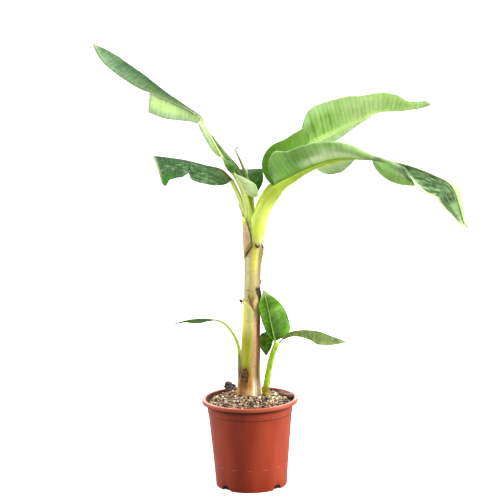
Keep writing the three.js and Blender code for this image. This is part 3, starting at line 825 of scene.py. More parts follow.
# %% The pot
def make_pot():
    bm = new_mesh()
    neck = POT_NECK_RADIUS - POT_WALL
    lip = POT_LIP_ROUNDING
    profile = [(0, 0), (POT_FOOT_RADIUS - 0.004, 0)]
    profile += arc((POT_FOOT_RADIUS - 0.0015, 0.0015), 0.0015, -90, 0, 5)
    profile += [(wall_radius(h) - POT_BAND_STEP * ramp(h, 0.0, 0.05), h) for h in (0.03, 0.06, 0.1, 0.144)]
    profile += [(wall_radius(POT_BAND_HEIGHT) - POT_BAND_STEP * 0.9, POT_BAND_HEIGHT - 0.0024)]
    profile += [(wall_radius(POT_BAND_HEIGHT) + 0.0002, POT_BAND_HEIGHT - 0.0008)]
    profile += [(wall_radius(h), h) for h in (POT_BAND_HEIGHT + 0.0005, 0.157, POT_RIM_UNDERSIDE - 0.003)]
    profile += arc((POT_NECK_RADIUS + 0.0022, POT_RIM_UNDERSIDE - 0.002), 0.002, 170, 90, 4)
    profile += [(POT_RIM_RADIUS - 0.0022, POT_RIM_UNDERSIDE)]
    profile += arc((POT_RIM_RADIUS - 0.0012, POT_RIM_UNDERSIDE + 0.0012), 0.0012, -90, 0, 4)
    profile += arc((POT_RIM_RADIUS - lip, POT_HEIGHT - lip), lip, 0, 90, 6)
    profile += arc((neck + 0.0062, POT_HEIGHT - 0.0022), 0.0022, 90, 170, 5)
    profile += [(neck + 0.0016, POT_HEIGHT - 0.006), (neck, POT_HEIGHT - POT_LIP_DEPTH)]
    profile += [(inner_radius(POT_FLOOR), POT_FLOOR), (0, POT_FLOOR)]
    spin_profile(bm, profile)
    return piece("pot_shell", bm, [POT_PLASTIC], ["pot"])


pot_shell = make_pot()

# %% Its four drain notches
def cut_notches(pot):
    bm = bmesh.new()
    for k in range(4):
        turn = Matrix.Rotation(math.radians(45 + 90 * k), 4, "Z")
        move = Matrix.Translation((POT_FOOT_RADIUS + NOTCH_DEPTH / 2, 0, 0))
        squash = Matrix.Diagonal((1, NOTCH_WIDTH / 2, NOTCH_HEIGHT, 1))
        lie = Matrix.Rotation(math.pi / 2, 4, "Y")
        bmesh.ops.create_cone(bm, cap_ends=True, segments=40, radius1=1, radius2=1, depth=NOTCH_DEPTH * 2,
            matrix=turn @ move @ squash @ lie)
    drums = to_object("notch_drums", bm)
    cut = pot.modifiers.new("notches", "BOOLEAN")
    cut.operation = "DIFFERENCE"
    cut.solver = "EXACT"
    cut.object = drums
    soften = pot.modifiers.new("moulded_edges", "BEVEL")
    soften.width = 0.0005
    soften.segments = 2
    soften.limit_method = "ANGLE"
    soften.angle_limit = math.radians(50)
    bpy.context.view_layer.update()
    shaped = bpy.data.meshes.new_from_object(pot.evaluated_get(bpy.context.evaluated_depsgraph_get()))
    pot.modifiers.clear()
    pot.data = shaped
    bpy.data.objects.remove(drums)
    for polygon in shaped.polygons:
        polygon.use_smooth = True
    shaped.set_sharp_from_angle(angle=math.radians(32))
    print("pot with notches", len(shaped.polygons), "faces")


cut_notches(pot_shell)

# %% [markdown]
# ## The potting mix
# The pot holds a coarse mix of bark and pumice, heaped round the stems. A bump map alone looks like a
# carpet at this distance, so the heap is a turned shape with real chips scattered over it. Each chip is a
# 20-sided ball with its points knocked about, and gets one of a few plain colours by chance.

# %% The heap
SLOPE_WIDTH = 0.014
SLOPE_TOP = SOIL_EDGE + 0.0055
HEAP_EDGE = inner_radius(SOIL_EDGE) - CLEARANCE
HEAP_ROUGHNESS = 0.0012


def heap_height(radius):
    """The mix's surface at a distance from the pot's axis: flat, then falling, then falling faster."""
    if radius > HEAP_EDGE - SLOPE_WIDTH:
        return mix(SLOPE_TOP, SOIL_EDGE, clamp((radius - HEAP_EDGE + SLOPE_WIDTH) / SLOPE_WIDTH))
    if radius > SOIL_PLATEAU_RADIUS:
        share = (radius - SOIL_PLATEAU_RADIUS) / (HEAP_EDGE - SLOPE_WIDTH - SOIL_PLATEAU_RADIUS)
        return mix(SOIL_PLATEAU - CLEARANCE, SLOPE_TOP, share)
    return SOIL_PLATEAU - CLEARANCE


def make_heap():
    bm = new_mesh()
    bottom = POT_FLOOR + CLEARANCE
    rings = [HEAP_EDGE - k * HEAP_EDGE / 40 for k in range(41)]
    profile = [(0, bottom), (inner_radius(bottom) - CLEARANCE, bottom)]
    profile += [(radius, heap_height(radius) - HEAP_ROUGHNESS) for radius in rings]
    spin_profile(bm, profile, 120)
    for vert in bm.verts:
        if vert.co.z > SOIL_EDGE - 0.003 and vert.co.xy.length < HEAP_EDGE - 0.001:
            vert.co.z += HEAP_ROUGHNESS * wobble(vert.co.x * 160, vert.co.y * 160)
    piece("heap_of_mix", bm, [PEAT], ["potting_mix"])


make_heap()

# %% The chips
CHIP_COUNT = 3700
CHIP_SHARES = [0.16, 0.22, 0.17, 0.16, 0.19, 0.10]
CHIP_SMALLEST = 0.0010
CHIP_SPREAD = 0.0023
CHIP_ROUGHNESS = 0.28
CLEAR_OF_WALL = 0.0022
CLEAR_OF_TRUNK = STEMS["trunk"]["radii"][0] - 0.002


def scatter_chips():
    bm = new_mesh()
    edge = inner_radius(SOIL_EDGE) - CLEAR_OF_WALL
    trunk_foot = Vector(STEMS["trunk"]["route"][0]).xy
    for _ in range(CHIP_COUNT):
        reach = edge * math.sqrt(random.random())
        turn = random.uniform(0, 2 * math.pi)
        spot = Vector((reach * math.cos(turn), reach * math.sin(turn)))
        if (spot - trunk_foot).length < CLEAR_OF_TRUNK:
            continue
        size = CHIP_SMALLEST + CHIP_SPREAD * random.random() ** 2.2
        size = min(size, 0.0011 + (edge - reach) * 0.7)
        lift = heap_height(reach) - 0.0008 + size * random.uniform(-0.5, 0.8)
        sizes = [random.uniform(*span) for span in ((0.8, 1.6), (0.7, 1.1), (0.5, 0.8))]
        spin = Matrix.Rotation(random.uniform(0, 6.28), 4, "Z")
        tilt = Matrix.Rotation(random.uniform(-0.7, 0.7), 4, "X")
        matrix = Matrix.Translation((*spot, lift)) @ spin @ tilt @ Matrix.Diagonal((*sizes, 1))
        made = bmesh.ops.create_icosphere(bm, subdivisions=1, radius=size, matrix=matrix)["verts"]
        shade = random.choices(range(len(CHIPS)), CHIP_SHARES)[0]
        for vert in made:
            vert.co += Vector([random.uniform(-CHIP_ROUGHNESS, CHIP_ROUGHNESS) * size for _ in range(3)])
        for face in {face for vert in made for face in vert.link_faces}:
            face.material_index = shade
    piece("chips_of_mix", bm, CHIPS, ["potting_mix"], smooth=False)


scatter_chips()

# %% [markdown]
# Two larger flakes of bark stand out of the mix. Each is a fine ball, squared off and split by layers of
# noise, so that it looks snapped rather than melted.

# %% The bark flakes
FLAKE_ROOM_BELOW = 0.004
FLAKE_ROOM_ABOVE = 0.009


def bark_flake(name, node, material, half_sizes, turn, lean, raised, roughness):
    """A flake in its node's box, turned about z, leaned, and raised until it shows above the mix."""
    low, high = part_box(node)
    centre = (low + high) / 2
    bm = new_mesh()
    bmesh.ops.create_icosphere(bm, subdivisions=5, radius=1)
    tilt = Matrix.Rotation(turn, 3, "Z") @ Matrix.Rotation(lean, 3, "Y")
    for vert in bm.verts:
        d = vert.co.normalized()
        square = max(abs(d.x), abs(d.y), abs(d.z))
        chipped = 1 / mix(1.0, square, 0.75)
        layer = math.floor(d.z * 4 + wobble(*(d * 2)) * 1.5) / 4
        chipped *= 1 + roughness * wobble(*(d * 2.3 + Vector((3, 0, layer * 4)))) + 0.06 * wobble(*(d * 9))
        p = Vector((d.x * half_sizes[0], d.y * half_sizes[1], d.z * half_sizes[2])) * chipped
        vert.co = centre + tilt @ p + Vector((0, 0, raised))
        for k in range(3):
            vert.co[k] = clamp(vert.co[k], low[k] - FLAKE_ROOM_BELOW, high[k] + FLAKE_ROOM_ABOVE)
    made = piece(name, bm, [material], [node])
    made.data.set_sharp_from_angle(angle=math.radians(28))


bark_flake("bark_chunk_left", "bark_flake_left", BARK_GREY, (0.0108, 0.0044, 0.0078),
    turn=0.35, lean=0.6, raised=0.0055, roughness=0.5)
bark_flake("bark_chunk_right", "bark_flake_right", BARK_RED, (0.0140, 0.0085, 0.0034),
    turn=-0.26, lean=0.25, raised=0.001, roughness=0.4)

# %% [markdown]
# ## The trunk of wrapped sheaths
# A banana has no wood. Its trunk is the stacked bases of its leaves, each wrapped round the younger ones
# inside it, and the oldest outside dry to brown paper. So the trunk is one grid rolled round its route,
# and its radius grows by one sheath wherever an older sheath still covers it. The same lines that end a
# sheath also decide the paint. Azimuth is measured round the trunk: 0 is the camera side, 90 is +X.

# %% Where the sheaths end
SHEATH_THICKNESS = 0.0013
COLLAR_BULGE = 0.0044
COLLAR_LINE = [(-180, 0.450), (-110, 0.452), (-70, 0.457), (-35, 0.471), (4, 0.4845), (14, 0.4795),
    (23, 0.477), (32, 0.4830), (44, 0.4810), (56, 0.4765), (70, 0.4705), (90, 0.462), (110, 0.454),
    (140, 0.446), (180, 0.450)]
LOWER_LINE = [(-180, 0.372), (-95, 0.3705), (-60, 0.3695), (-28, 0.3655), (1, 0.353), (35, 0.343),
    (60, 0.338), (110, 0.345), (180, 0.372)]
SEAM_LINE = [(0.17, 26), (0.24, 30), (0.30, 34), (0.34, 46), (0.36, 60)]


def inside(value, line, width):
    """1 on the near side of a line, 0 beyond it, over a width."""
    return ramp(value, line + width / 2, line - width / 2)


def near(value, line, width):
    """1 on a line, fading to 0 at a width from it."""
    return 1 - ramp(abs(value - line), 0.0, width)


def tint(base, *layers):
    """A colour with (share, colour) layers laid over it in order."""
    red, green, blue = base[:3]
    for share, over in layers:
        red, green, blue = mix(red, over[0], share), mix(green, over[1], share), mix(blue, over[2], share)
    return red, green, blue


def deepen(shade, share):
    """The same paint, darker or lighter: painted light and shade, where the lamps reach more or less than
    in a real room, and for a few colours simply a darker shade of the colour.
    """
    return tuple(clamp(channel * share) for channel in shade[:3])


def trunk_masks(azimuth, height):
    collar = between(COLLAR_LINE, azimuth, 1) + 0.0012 * wobble(azimuth * 0.09, height * 20)
    lower = between(LOWER_LINE, azimuth, 1) + 0.001 * wobble(azimuth * 0.08, 7)
    seam = between(SEAM_LINE, height, 1) + 2 * wobble(height * 60, 3)
    under_collar = inside(height, collar, 0.0012)
    under_lower = inside(height, lower, 0.0012) * inside(azimuth, seam, 2.5) * ramp(azimuth, -170, -165)
    return collar, lower, seam, under_collar, under_lower


print("the collar is", round(between(COLLAR_LINE, 4, 1), 4), "m up at its highest")

# %% The trunk's relief and colours
TRUNK_COLOURS = Palette(
    olive=(168, 172, 40), lime=(236, 234, 96), cream=(240, 230, 190), sage=(206, 212, 172),
    tan=(200, 180, 118), pink=(214, 180, 140), rust=(152, 84, 60), brown=(112, 72, 30),
    dark=(26, 16, 5), moss=(118, 108, 30), leaf=(222, 236, 110), orange=(196, 138, 78),
    rose=(208, 152, 122), bronze=(150, 132, 62), butter=(222, 218, 128), white=(255, 238, 216),
)
PIECE_LINE = [(0.350, 66), (0.3646, 56), (0.374, 44), (0.382, 30), (0.3895, 20)]


def spot(azimuth, height, centre, reach):
    """1 on a patch of the trunk, fading to 0 at its reach: degrees round and metres up."""
    return 1 - ramp(math.hypot((azimuth - centre[0]) / reach[0], (height - centre[1]) / reach[1]), 0.6, 1.0)


def trunk_relief(azimuth, height):
    _, _, _, under_collar, under_lower = trunk_masks(azimuth, height)
    turn = math.radians(azimuth)
    ribs = 0.00025 * wobble(math.cos(turn) * 9, math.sin(turn) * 9, height * 9)
    folds = 0.0008 * wobble(math.cos(turn) * 2.2, math.sin(turn) * 2.2, height * 14)
    bulge = COLLAR_BULGE * ramp(height, 0.448, 0.486) * near(azimuth, 34, 80) * under_collar
    return SHEATH_THICKNESS * (under_collar + under_lower - 1) + ribs + folds + bulge


print(len(TRUNK_COLOURS), "trunk colours")

# %% The paint of each sheath
def paint_middle(azimuth, height, streak):
    """The sheath between the collar and the lowest one: yellow at its heart, grey-green at its left."""
    c = TRUNK_COLOURS
    found = tint(c.tan, (0.9 * near(azimuth, 12, 34) * ramp(height, 0.41, 0.45), c.lime),
        (ramp(azimuth, -20, -45) * 0.9, c.sage), (0.5 * ramp(streak, 0.1, 0.5), c.cream),
        (0.5 * ramp(azimuth, 40, 60) * ramp(height, 0.42, 0.44), c.butter),
        (0.75 * near(azimuth, 72, 16) * near(height, 0.415, 0.02), c.bronze),
        (0.7 * near(azimuth, 42, 20) * near(height, 0.405, 0.03), c.pink))
    dim = ramp(height, 0.41, 0.375)
    found = tint(found, (0.55 * dim * ramp(azimuth, -60, -30), c.bronze),
        (0.75 * near(azimuth, 0, 30) * ramp(height, 0.385, 0.37), c.brown))
    return tint(found, (0.5 * ramp(azimuth, -58, -72) * ramp(height, 0.43, 0.455), c.bronze))


def paint_outer(azimuth, height, streak):
    """The lowest sheath: yellow at its top, olive and wet further down, pink towards its seam."""
    c = TRUNK_COLOURS
    low = ramp(height, 0.325, 0.285)
    found = tint(c.butter, (ramp(azimuth, -20, -50) * (1 - low), c.lime),
        (low * ramp(azimuth, 4, -10), c.olive), (0.6 * low * near(azimuth, 4, 12), c.bronze),
        (ramp(azimuth, 4, 16) * 0.8, c.rose), (0.4 * ramp(streak, 0.0, 0.5) * (1 - low), c.cream),
        (0.5 * low * near(azimuth, -66, 20) * near(height, 0.262, 0.03), c.moss))
    wet = ramp(height, 0.248, 0.222)
    return tint(found, (wet * ramp(azimuth, 8, -12), c.brown), (0.7 * wet * near(azimuth, 0, 14), c.orange))


def paint_foot(azimuth, streak):
    c = TRUNK_COLOURS
    return tint(c.orange, (0.85 * ramp(azimuth, 0, -22), deepen(c.brown, 0.85)),
        (0.3 * ramp(streak, 0.1, 0.6), c.rose), (0.4 * ramp(azimuth, -48, -70), c.tan),
        # Painted highlight: the foot's front right is painted nearly white, where the light falls on it.
        (ramp(azimuth, 8, 20), c.white),
        (ramp(azimuth, 44, 60) * 0.9, c.pink), (near(azimuth, 66, 7) * 0.7, c.brown),
        (0.5 * near(azimuth, 38, 5), c.rose))


def paint_right(azimuth, height, streak):
    """The side that is turned away from the seam: red-brown, with cream showing low down."""
    c = TRUNK_COLOURS
    return tint(c.rust, (0.35 * ramp(streak, 0.0, 0.6), c.rose),
        (0.8 * near(azimuth, 74, 18) * near(height, 0.275, 0.04), c.moss),
        (ramp(azimuth, 52, 60) * ramp(height, 0.27, 0.215), c.cream), (ramp(azimuth, 120, 160), c.tan))


print("four sheaths have their paint")

# %% The whole trunk's paint
def dry_piece(azimuth, height):
    """1 where a dead, dark piece of sheath clings to the right side."""
    torn = 0.003 * wobble(azimuth * 0.06, 4) + 0.002 * wobble(azimuth * 0.3, height * 500)
    side = between(PIECE_LINE, clamp(height, PIECE_LINE[0][0], PIECE_LINE[-1][0]), 1)
    found = ramp(height + torn, 0.3975, 0.3925) * ramp(azimuth + torn * 2000, side - 3, side + 5)
    return found * (ramp(height + torn, 0.341, 0.346) * ramp(azimuth, 130, 110))


def trunk_light(azimuth, height):
    """How much lighter or darker the trunk is than its paint, where the room's own light differs."""
    lit = max(near(azimuth, -18, 42),
        ramp(azimuth, -110, -80) * ramp(azimuth, -20, -40) * ramp(height, 0.36, 0.34))
    right_top = ramp(azimuth, 22, 48) * ramp(azimuth, 130, 100) * ramp(height, 0.385, 0.40)
    right_low = ramp(azimuth, 2, 14) * ramp(height, 0.31, 0.29) * ramp(height, 0.205, 0.215)
    left_middle = ramp(azimuth, -34, -48) * ramp(height, 0.365, 0.38) * ramp(height, 0.45, 0.44)
    upper = mix(1.0, mix(1.08, 1.42, ramp(height, 0.345, 0.37)), lit) * mix(1.0, 0.48, right_top)
    lower = mix(1.0, 1.5, ramp(height, 0.2, 0.19)) * mix(1.0, 0.84, right_low) * mix(1.0, 0.84, left_middle)
    return upper, lower


def trunk_paint(azimuth, height):
    collar, lower, seam, under_collar, under_lower = trunk_masks(azimuth, height)
    c = TRUNK_COLOURS
    streak = wobble(azimuth * 0.16, height * 9)
    grooves = wobble(azimuth * 0.42, height * 7, 2)
    below = inside(height, lower, 0.0012)
    found = tint(c.pink, (0.4 * ramp(streak, 0.0, 0.5), c.cream), (0.85 * near(azimuth, 4, 40), c.white))
    found = tint(found, (under_collar, paint_middle(azimuth, height, streak)))
    found = tint(found, (below * ramp(azimuth, 30, 45), paint_right(azimuth, height, streak)),
        (under_lower, paint_outer(azimuth, height, streak)))
    found = tint(found, (ramp(height, 0.222, 0.196) * 0.9, paint_foot(azimuth, streak)),
        (0.45 * ramp(height, 0.198, 0.186) * ramp(azimuth, -40, -10), c.pink))
    for share in trunk_light(azimuth, height):
        found = deepen(found, share)
    speckle = ramp(wobble(azimuth * 0.11, height * 210, 5), 0.02, 0.2)
    speckled = spot(azimuth, height, (-26, 0.220), (32, 0.020))
    freckles = ramp(wobble(azimuth * 0.2, height * 320, 9), 0.3, 0.5)
    tear = near(azimuth, mix(-26, 15, clamp((0.379 - height) / 0.032)), 9)
    return tint(found, (0.4 * ramp(grooves, 0.1, 0.45), deepen(c.bronze, 0.8)),
        (0.45 * freckles * ramp(azimuth, 70, 50) * ramp(azimuth, -10, 8) * below, c.brown),
        (near(height, collar + 0.0006, 0.0022) * 0.7, c.moss),
        (0.94 * dry_piece(azimuth, height), c.dark),
        (0.7 * spot(azimuth, height, (24, 0.361), (22, 0.014)), c.pink),
        (0.9 * tear * ramp(height, 0.346, 0.35) * ramp(height, 0.384, 0.376), c.brown),
        # Painted shade: a dark brown line along the lip of the lowest sheath.
        (near(height, lower + 0.0004, 0.002) * inside(azimuth, 62, 6) * 0.85, c.brown),
        (near(azimuth, seam, 3) * below * 0.7, c.brown),
        (0.9 * speckled * speckle, c.dark),
        (0.8 * spot(azimuth, height, (-66, 0.235), (14, 0.03)), c.dark))


print("the dry piece is", round(PIECE_LINE[-1][0] - PIECE_LINE[0][0], 4), "m high")

# %% The trunk
TRUNK_AROUND = 168
TRUNK_STEP = 0.0013


def make_trunk():
    rings = round(trunk_route.length / TRUNK_STEP)
    frames = [trunk_route.frame(k / rings, AWAY) for k in range(rings + 1)]
    bm = new_mesh()

    def rule(around, along):
        centre = frames[round(along * rings)][0]
        azimuth = (around - 0.5) * 360
        turn = math.radians(azimuth)
        radius = between(TRUNK_RADII, along, 1) + trunk_relief(azimuth, centre.z)
        return centre + Vector((math.sin(turn), -math.cos(turn), 0)) * radius

    def painting(around, along):
        return trunk_paint((around - 0.5) * 360, frames[round(along * rings)][0].z)

    made, _ = bent_grid(bm, TRUNK_AROUND, rings, rule, painting, (trunk_route.length, 1.0))
    bmesh.ops.remove_doubles(bm, verts=made, dist=1e-6)
    bmesh.ops.holes_fill(bm, edges=[edge for edge in bm.edges if edge.is_boundary], sides=0)
    bmesh.ops.recalc_face_normals(bm, faces=bm.faces)
    piece("trunk_of_sheaths", bm, [SHEATH], ["trunk"])


make_trunk()

# %% [markdown]
# Old sheaths do not end in a clean line. The dead one on the left stands off the trunk as a papery sheet,
# margins roll up and turn brown, and scraps are left where a leaf was cut away. The sheet is a grid laid a
# little outside the trunk, and each rolled margin is a thin tube that follows it.

# %% Points on the trunk
TRUNK_FOOT, TRUNK_TOP = STEMS["trunk"]["route"][0][2], STEMS["trunk"]["route"][-1][2]
TRUNK_AXIS = [(z, x, y) for x, y, z in STEMS["trunk"]["route"]]
SHEET_BORDER = [(0.452, -5), (0.4905, -11), (0.505, -17), (0.514, -26), (0.5255, -38), (0.534, -52)]
SHEET_TOP = SHEET_BORDER[-1][0]
SHEET_LEFT = -116
SHEET_FLARE = -0.08
FLAP_FOOT, FLAP_TOP = 0.441, 0.4735
FLAP_LEFT, FLAP_RIGHT = 60, 102
DEAD_SHEATH_THICKNESS = 0.0007


def on_trunk(azimuth, height, lift=0.0):
    """A point at a distance outside the trunk. Above its top the trunk is carried on, flaring."""
    share = clamp((height - TRUNK_FOOT) / (TRUNK_TOP - TRUNK_FOOT))
    radius = between(TRUNK_RADII, share, 1) + trunk_relief(azimuth, height) + lift
    radius += SHEET_FLARE * max(0.0, height - TRUNK_TOP)
    turn = math.radians(azimuth)
    centre = Vector((between(TRUNK_AXIS, height, 1), between(TRUNK_AXIS, height, 2), height))
    return centre + Vector((math.sin(turn), -math.cos(turn), 0)) * radius


print("the sheet's border is", between(SHEET_BORDER, 0.505, 1), "degrees round at the trunk's top")

# %% The papery sheet and the torn flap
def add_sheet(bm, low, high, left, right, lift, paint, ragged=0.0):
    """Dead sheath outside the trunk. Its foot is a rule of azimuth, and its right border of height."""
    def rule(around, along):
        tear = ragged * ramp(around, 0.6, 1.0)
        azimuth = mix(left, right(mix(low(left), high, along)), around)
        height = mix(low(azimuth), high, along)
        azimuth = mix(left, right(height) + tear * wobble(height * 420, 3), around)
        height += tear * 0.00012 * wobble(azimuth * 0.25, 8) * ramp(along, 0.8, 1.0)
        return on_trunk(azimuth, height, lift(around, along) + 0.0003 * wobble(azimuth * 0.1, height * 260))

    rows = max(8, round((high - low(right(high))) / 0.0014))
    _, faces = bent_grid(bm, 40, rows, rule, paint, (high - low(left), 0.3))
    bmesh.ops.reverse_faces(bm, faces=list(faces))


def sheet_paint(around, along):
    c = TRUNK_COLOURS
    streak = wobble(around * 14, along * 1.2, 6)
    found = tint(c.pink, (0.55 * ramp(streak, 0.1, 0.5), c.tan), (0.5 * ramp(streak, 0.0, -0.4), c.cream),
        (0.5 * ramp(around, 0.5, 0.3), c.cream), (ramp(along, 0.78, 0.92), c.leaf),
        (0.7 * near(along, 0.84, 0.1) * ramp(around, 0.5, 0.8), c.olive),
        (0.8 * ramp(along, 0.12, 0.02), c.bronze))
    return tint(found, (ramp(around, 0.93, 0.97), c.moss), (ramp(around, 0.97, 1.0), c.brown))


def flap_paint(around, along):
    c = TRUNK_COLOURS
    return tint(c.bronze, (0.6 * ramp(wobble(around * 6, along * 5), 0.0, 0.4), c.butter),
        (ramp(around, 0.75, 0.95), c.moss), (ramp(wobble(around * 9, along * 9, 4), 0.1, 0.4), c.brown))


def sheet_lift(around, along):
    """The sheet rises off the trunk from its foot up, and lifts a little more at its border."""
    return 0.0006 + 0.0016 * ramp(along, 0.0, 0.15) + 0.001 * ramp(around, 0.9, 1.0)


def make_dead_sheets():
    bm = new_mesh()
    add_sheet(bm, lambda azimuth: between(COLLAR_LINE, azimuth, 1) - 0.001, SHEET_TOP, SHEET_LEFT,
        lambda height: between(SHEET_BORDER, height, 1), sheet_lift, sheet_paint)
    add_sheet(bm, lambda azimuth: FLAP_FOOT, FLAP_TOP, FLAP_LEFT, lambda height: FLAP_RIGHT,
        lambda around, along: 0.0006 + 0.0046 * around * along, flap_paint, 14)
    thicken(piece("dead_sheaths", bm, [SHEATH], ["trunk"]), DEAD_SHEATH_THICKNESS)


make_dead_sheets()

# %% Rolled margins and scraps
MARGINS = {
    "collar_left": ([(-68, 0.4548), (-52, 0.4590), (-38, 0.4648), (-19, 0.4748), (-4, 0.4822), (7, 0.4858)],
        [0.0008, 0.0020, 0.0027, 0.0026, 0.0020, 0.0010], "bronze", 0.0012),
    "collar_notch": ([(6, 0.4842), (14, 0.4790), (22, 0.4765), (30, 0.4790)],
        [0.0008, 0.0016, 0.0024, 0.0014], "plum", 0.0010),
    "collar_right": ([(23, 0.4812), (31, 0.4846), (43, 0.4820), (56, 0.4772), (72, 0.4705)],
        [0.0010, 0.0020, 0.0022, 0.0021, 0.0014], "dark", 0.0030),
    "stub_left": ([(-82, 0.3635), (-85, 0.3655), (-90, 0.3680)], [0.0024, 0.0034, 0.0024], "plum", 0.0012),
    "scrap_right": ([(84, 0.3985), (87, 0.4035), (88, 0.4075)], [0.0008, 0.0015, 0.0006], "bronze", 0.0006),
    "piece_edge": ([(24, 0.3925), (50, 0.3915), (72, 0.3860), (82, 0.3700), (80, 0.3520), (66, 0.3445)],
        [0.0005, 0.0011, 0.0014, 0.0012, 0.0010, 0.0005], "dark", 0.0006),
}
STUB_REACH = 0.0050
SHEET_MARGIN_HEIGHTS = (0.484, 0.4905, 0.505, 0.514, 0.5255)
SHEET_MARGIN_RADII = [0.0006, 0.0009, 0.0009, 0.0008, 0.0007, 0.0003]
SHEET_MARGIN_TIP = [(-0.0045, 0.0125, 0.5345), (-0.0089, 0.0170, 0.5440), (-0.0131, 0.0190, 0.5550),
    (-0.0172, 0.0200, 0.5660)]
PLUM = colour(78, 58, 52)


def margin_paint(name):
    """A painter for a rolled margin: its own colour on top, and dark beneath, as painted shade."""
    shade = PLUM if name == "plum" else TRUNK_COLOURS[name]

    def paint(turn, share):
        return tint(shade, (0.9 * ramp(math.sin(turn), -0.35, -0.75), TRUNK_COLOURS.dark),
            (0.6 * ramp(wobble(turn, share * 14), 0.1, 0.4), TRUNK_COLOURS.brown))

    return paint


def make_margins():
    bm = new_mesh()
    for name, (places, radii, shade, lift) in MARGINS.items():
        reach = STUB_REACH if name == "stub_left" else 0.0
        points = [on_trunk(azimuth, height, lift + reach * k / (len(places) - 1))
            for k, (azimuth, height) in enumerate(places)]
        tube(bm, Route(points), radii, margin_paint(shade), sides=12, step=0.0012)
    sheet_margin = [on_trunk(between(SHEET_BORDER, z, 1), z, 0.0022) for z in SHEET_MARGIN_HEIGHTS]
    sheet_margin += SHEET_MARGIN_TIP
    tube(bm, Route(sheet_margin), SHEET_MARGIN_RADII, margin_paint("moss"), sides=10, step=0.0014)
    piece("rolled_margins", bm, [SHEATH], ["trunk"])


make_margins()

# %% [markdown]
# ## Leaf stalks and shoots
# A stalk is a fleshy channel: round and solid below, and open like a gutter on top where the blade
# begins. A tube whose top is pressed in more and more towards the leaf makes this in one piece. Each stalk
# starts inside the trunk and comes out of it gradually, as the sheath it grows from does.

# %% Stalk paint
STALK_COLOURS = Palette(
    juicy=(238, 250, 118), lime=(214, 238, 84), pale=(248, 252, 180), vivid=(150, 204, 38),
    amber=(196, 168, 52), bark=(60, 46, 26), shade=(92, 128, 44), deep=(52, 92, 34),
    leaf=(186, 206, 84), pink=(226, 190, 160), grey=(120, 112, 92), moss=(120, 112, 44),
)


def gutter_paint(outer, rim, inner, inner_from, foot=None, foot_to=0.0):
    """A painter for a stalk: its outside, the rim of its gutter, and the inside of the gutter, painted
    darker as shade.
    """
    s = STALK_COLOURS

    def paint(turn, share):
        top = math.sin(turn)
        open_here = ramp(share, inner_from, inner_from + 0.25)
        layers = [(ramp(top, 0.0, 0.35) * open_here, s[rim]), (ramp(top, 0.45, 0.7) * open_here, s[inner])]
        layers.append((0.35 * ramp(wobble(turn * 1.7, share * 4), 0.0, 0.5), s.pale))
        if foot:
            layers.append((ramp(share, foot_to + 0.06, foot_to - 0.06), s[foot]))
        return tint(s[outer], *layers)

    return paint


print(len(STALK_COLOURS), "stalk colours")

# %% The channelled stalk
CHANNEL_OUTSIDE = 0.62
CHANNEL_MIDDLE = math.radians(72)
CHANNEL_OPENING = math.radians(49)
CHANNEL_WALL = 0.3


def channel_section(turn, along):
    """A stalk that opens into a thick channel: round the outside, then back along the inside."""
    opening = CHANNEL_OPENING * ramp(along, 0.38, 0.62)
    start, end = CHANNEL_MIDDLE + opening, CHANNEL_MIDDLE + 2 * math.pi - opening
    share = turn / (2 * math.pi)
    if share <= CHANNEL_OUTSIDE:
        angle, radius = mix(start, end, share / CHANNEL_OUTSIDE), 1.0
    else:
        back = (share - CHANNEL_OUTSIDE) / (1 - CHANNEL_OUTSIDE)
        angle = mix(end, start, back)
        radius = 1 - CHANNEL_WALL * (0.35 + 0.65 * math.sin(math.pi * back))
    return math.cos(angle) * radius, math.sin(angle) * radius


def channel_paint(turn, share):
    s = STALK_COLOURS
    around = turn / (2 * math.pi)
    inner = ramp(around, CHANNEL_OUTSIDE, CHANNEL_OUTSIDE + 0.02) * ramp(around, 1.0, 0.985)
    depth = ramp(around, 1.0, 0.9)
    rim = max(ramp(around, 0.04, 0.0), ramp(around, CHANNEL_OUTSIDE - 0.03, CHANNEL_OUTSIDE))
    found = tint(s.juicy, (0.5 * ramp(wobble(turn * 1.3, share * 5), -0.1, 0.5), s.pale),
        (0.45 * ramp(wobble(turn * 2.2, share * 9, 3), 0.05, 0.5), s.lime),
        (0.75 * ramp(share, 0.4, 0.1), s.pale), (0.35 * rim, s.pale))
    found = tint(found, (ramp(share, 0.68, 0.96), deepen(s.lime, 0.68)))
    # Painted shade: the inside of the channel is a darker lime, deep green at its bottom towards the leaf.
    return tint(found, (inner, s.lime), (inner * depth * ramp(share, 0.45, 0.8), s.deep))


print("the channel opens to", round(math.degrees(2 * CHANNEL_OPENING)), "degrees")

# %% The leaf stalks
def make_stalk(name, node, stem, paint, section=ROUND, reference=UP, sides=36, finish=STALK):
    if "groove" in stem:
        section = gutter_section(*stem["groove"])
    bm = new_mesh()
    tube(bm, Route(stem["route"]), stem["radii"], paint, sides, 0.0022, section, reference)
    piece(name, bm, [finish], [node])


make_stalk("petiole_right_low_fine", "petiole_right_low", STALKS["petiole_right_low"], channel_paint,
    channel_section, sides=84, finish=THIN_STALK)
# The insides of most grooves are painted darker than their outsides: painted shade.
stalk_paints = {
    "petiole_left_high": gutter_paint("pale", "pale", "leaf", 0.5),
    "petiole_left_low": gutter_paint("pale", "juicy", "deep", 0.4, "pink", 0.38),
    "petiole_right_high": gutter_paint("lime", "pale", "shade", 0.45),
    "petiole_back": gutter_paint("lime", "pale", "shade", 0.45),
    "new_leaf_spear": gutter_paint("deep", "shade", "deep", 0.9),
}
for stalk_name, paint in stalk_paints.items():
    finish = THIN_STALK if stalk_name == "petiole_left_high" else STALK
    make_stalk(stalk_name + "_fine", stalk_name, STALKS[stalk_name], paint, finish=finish)

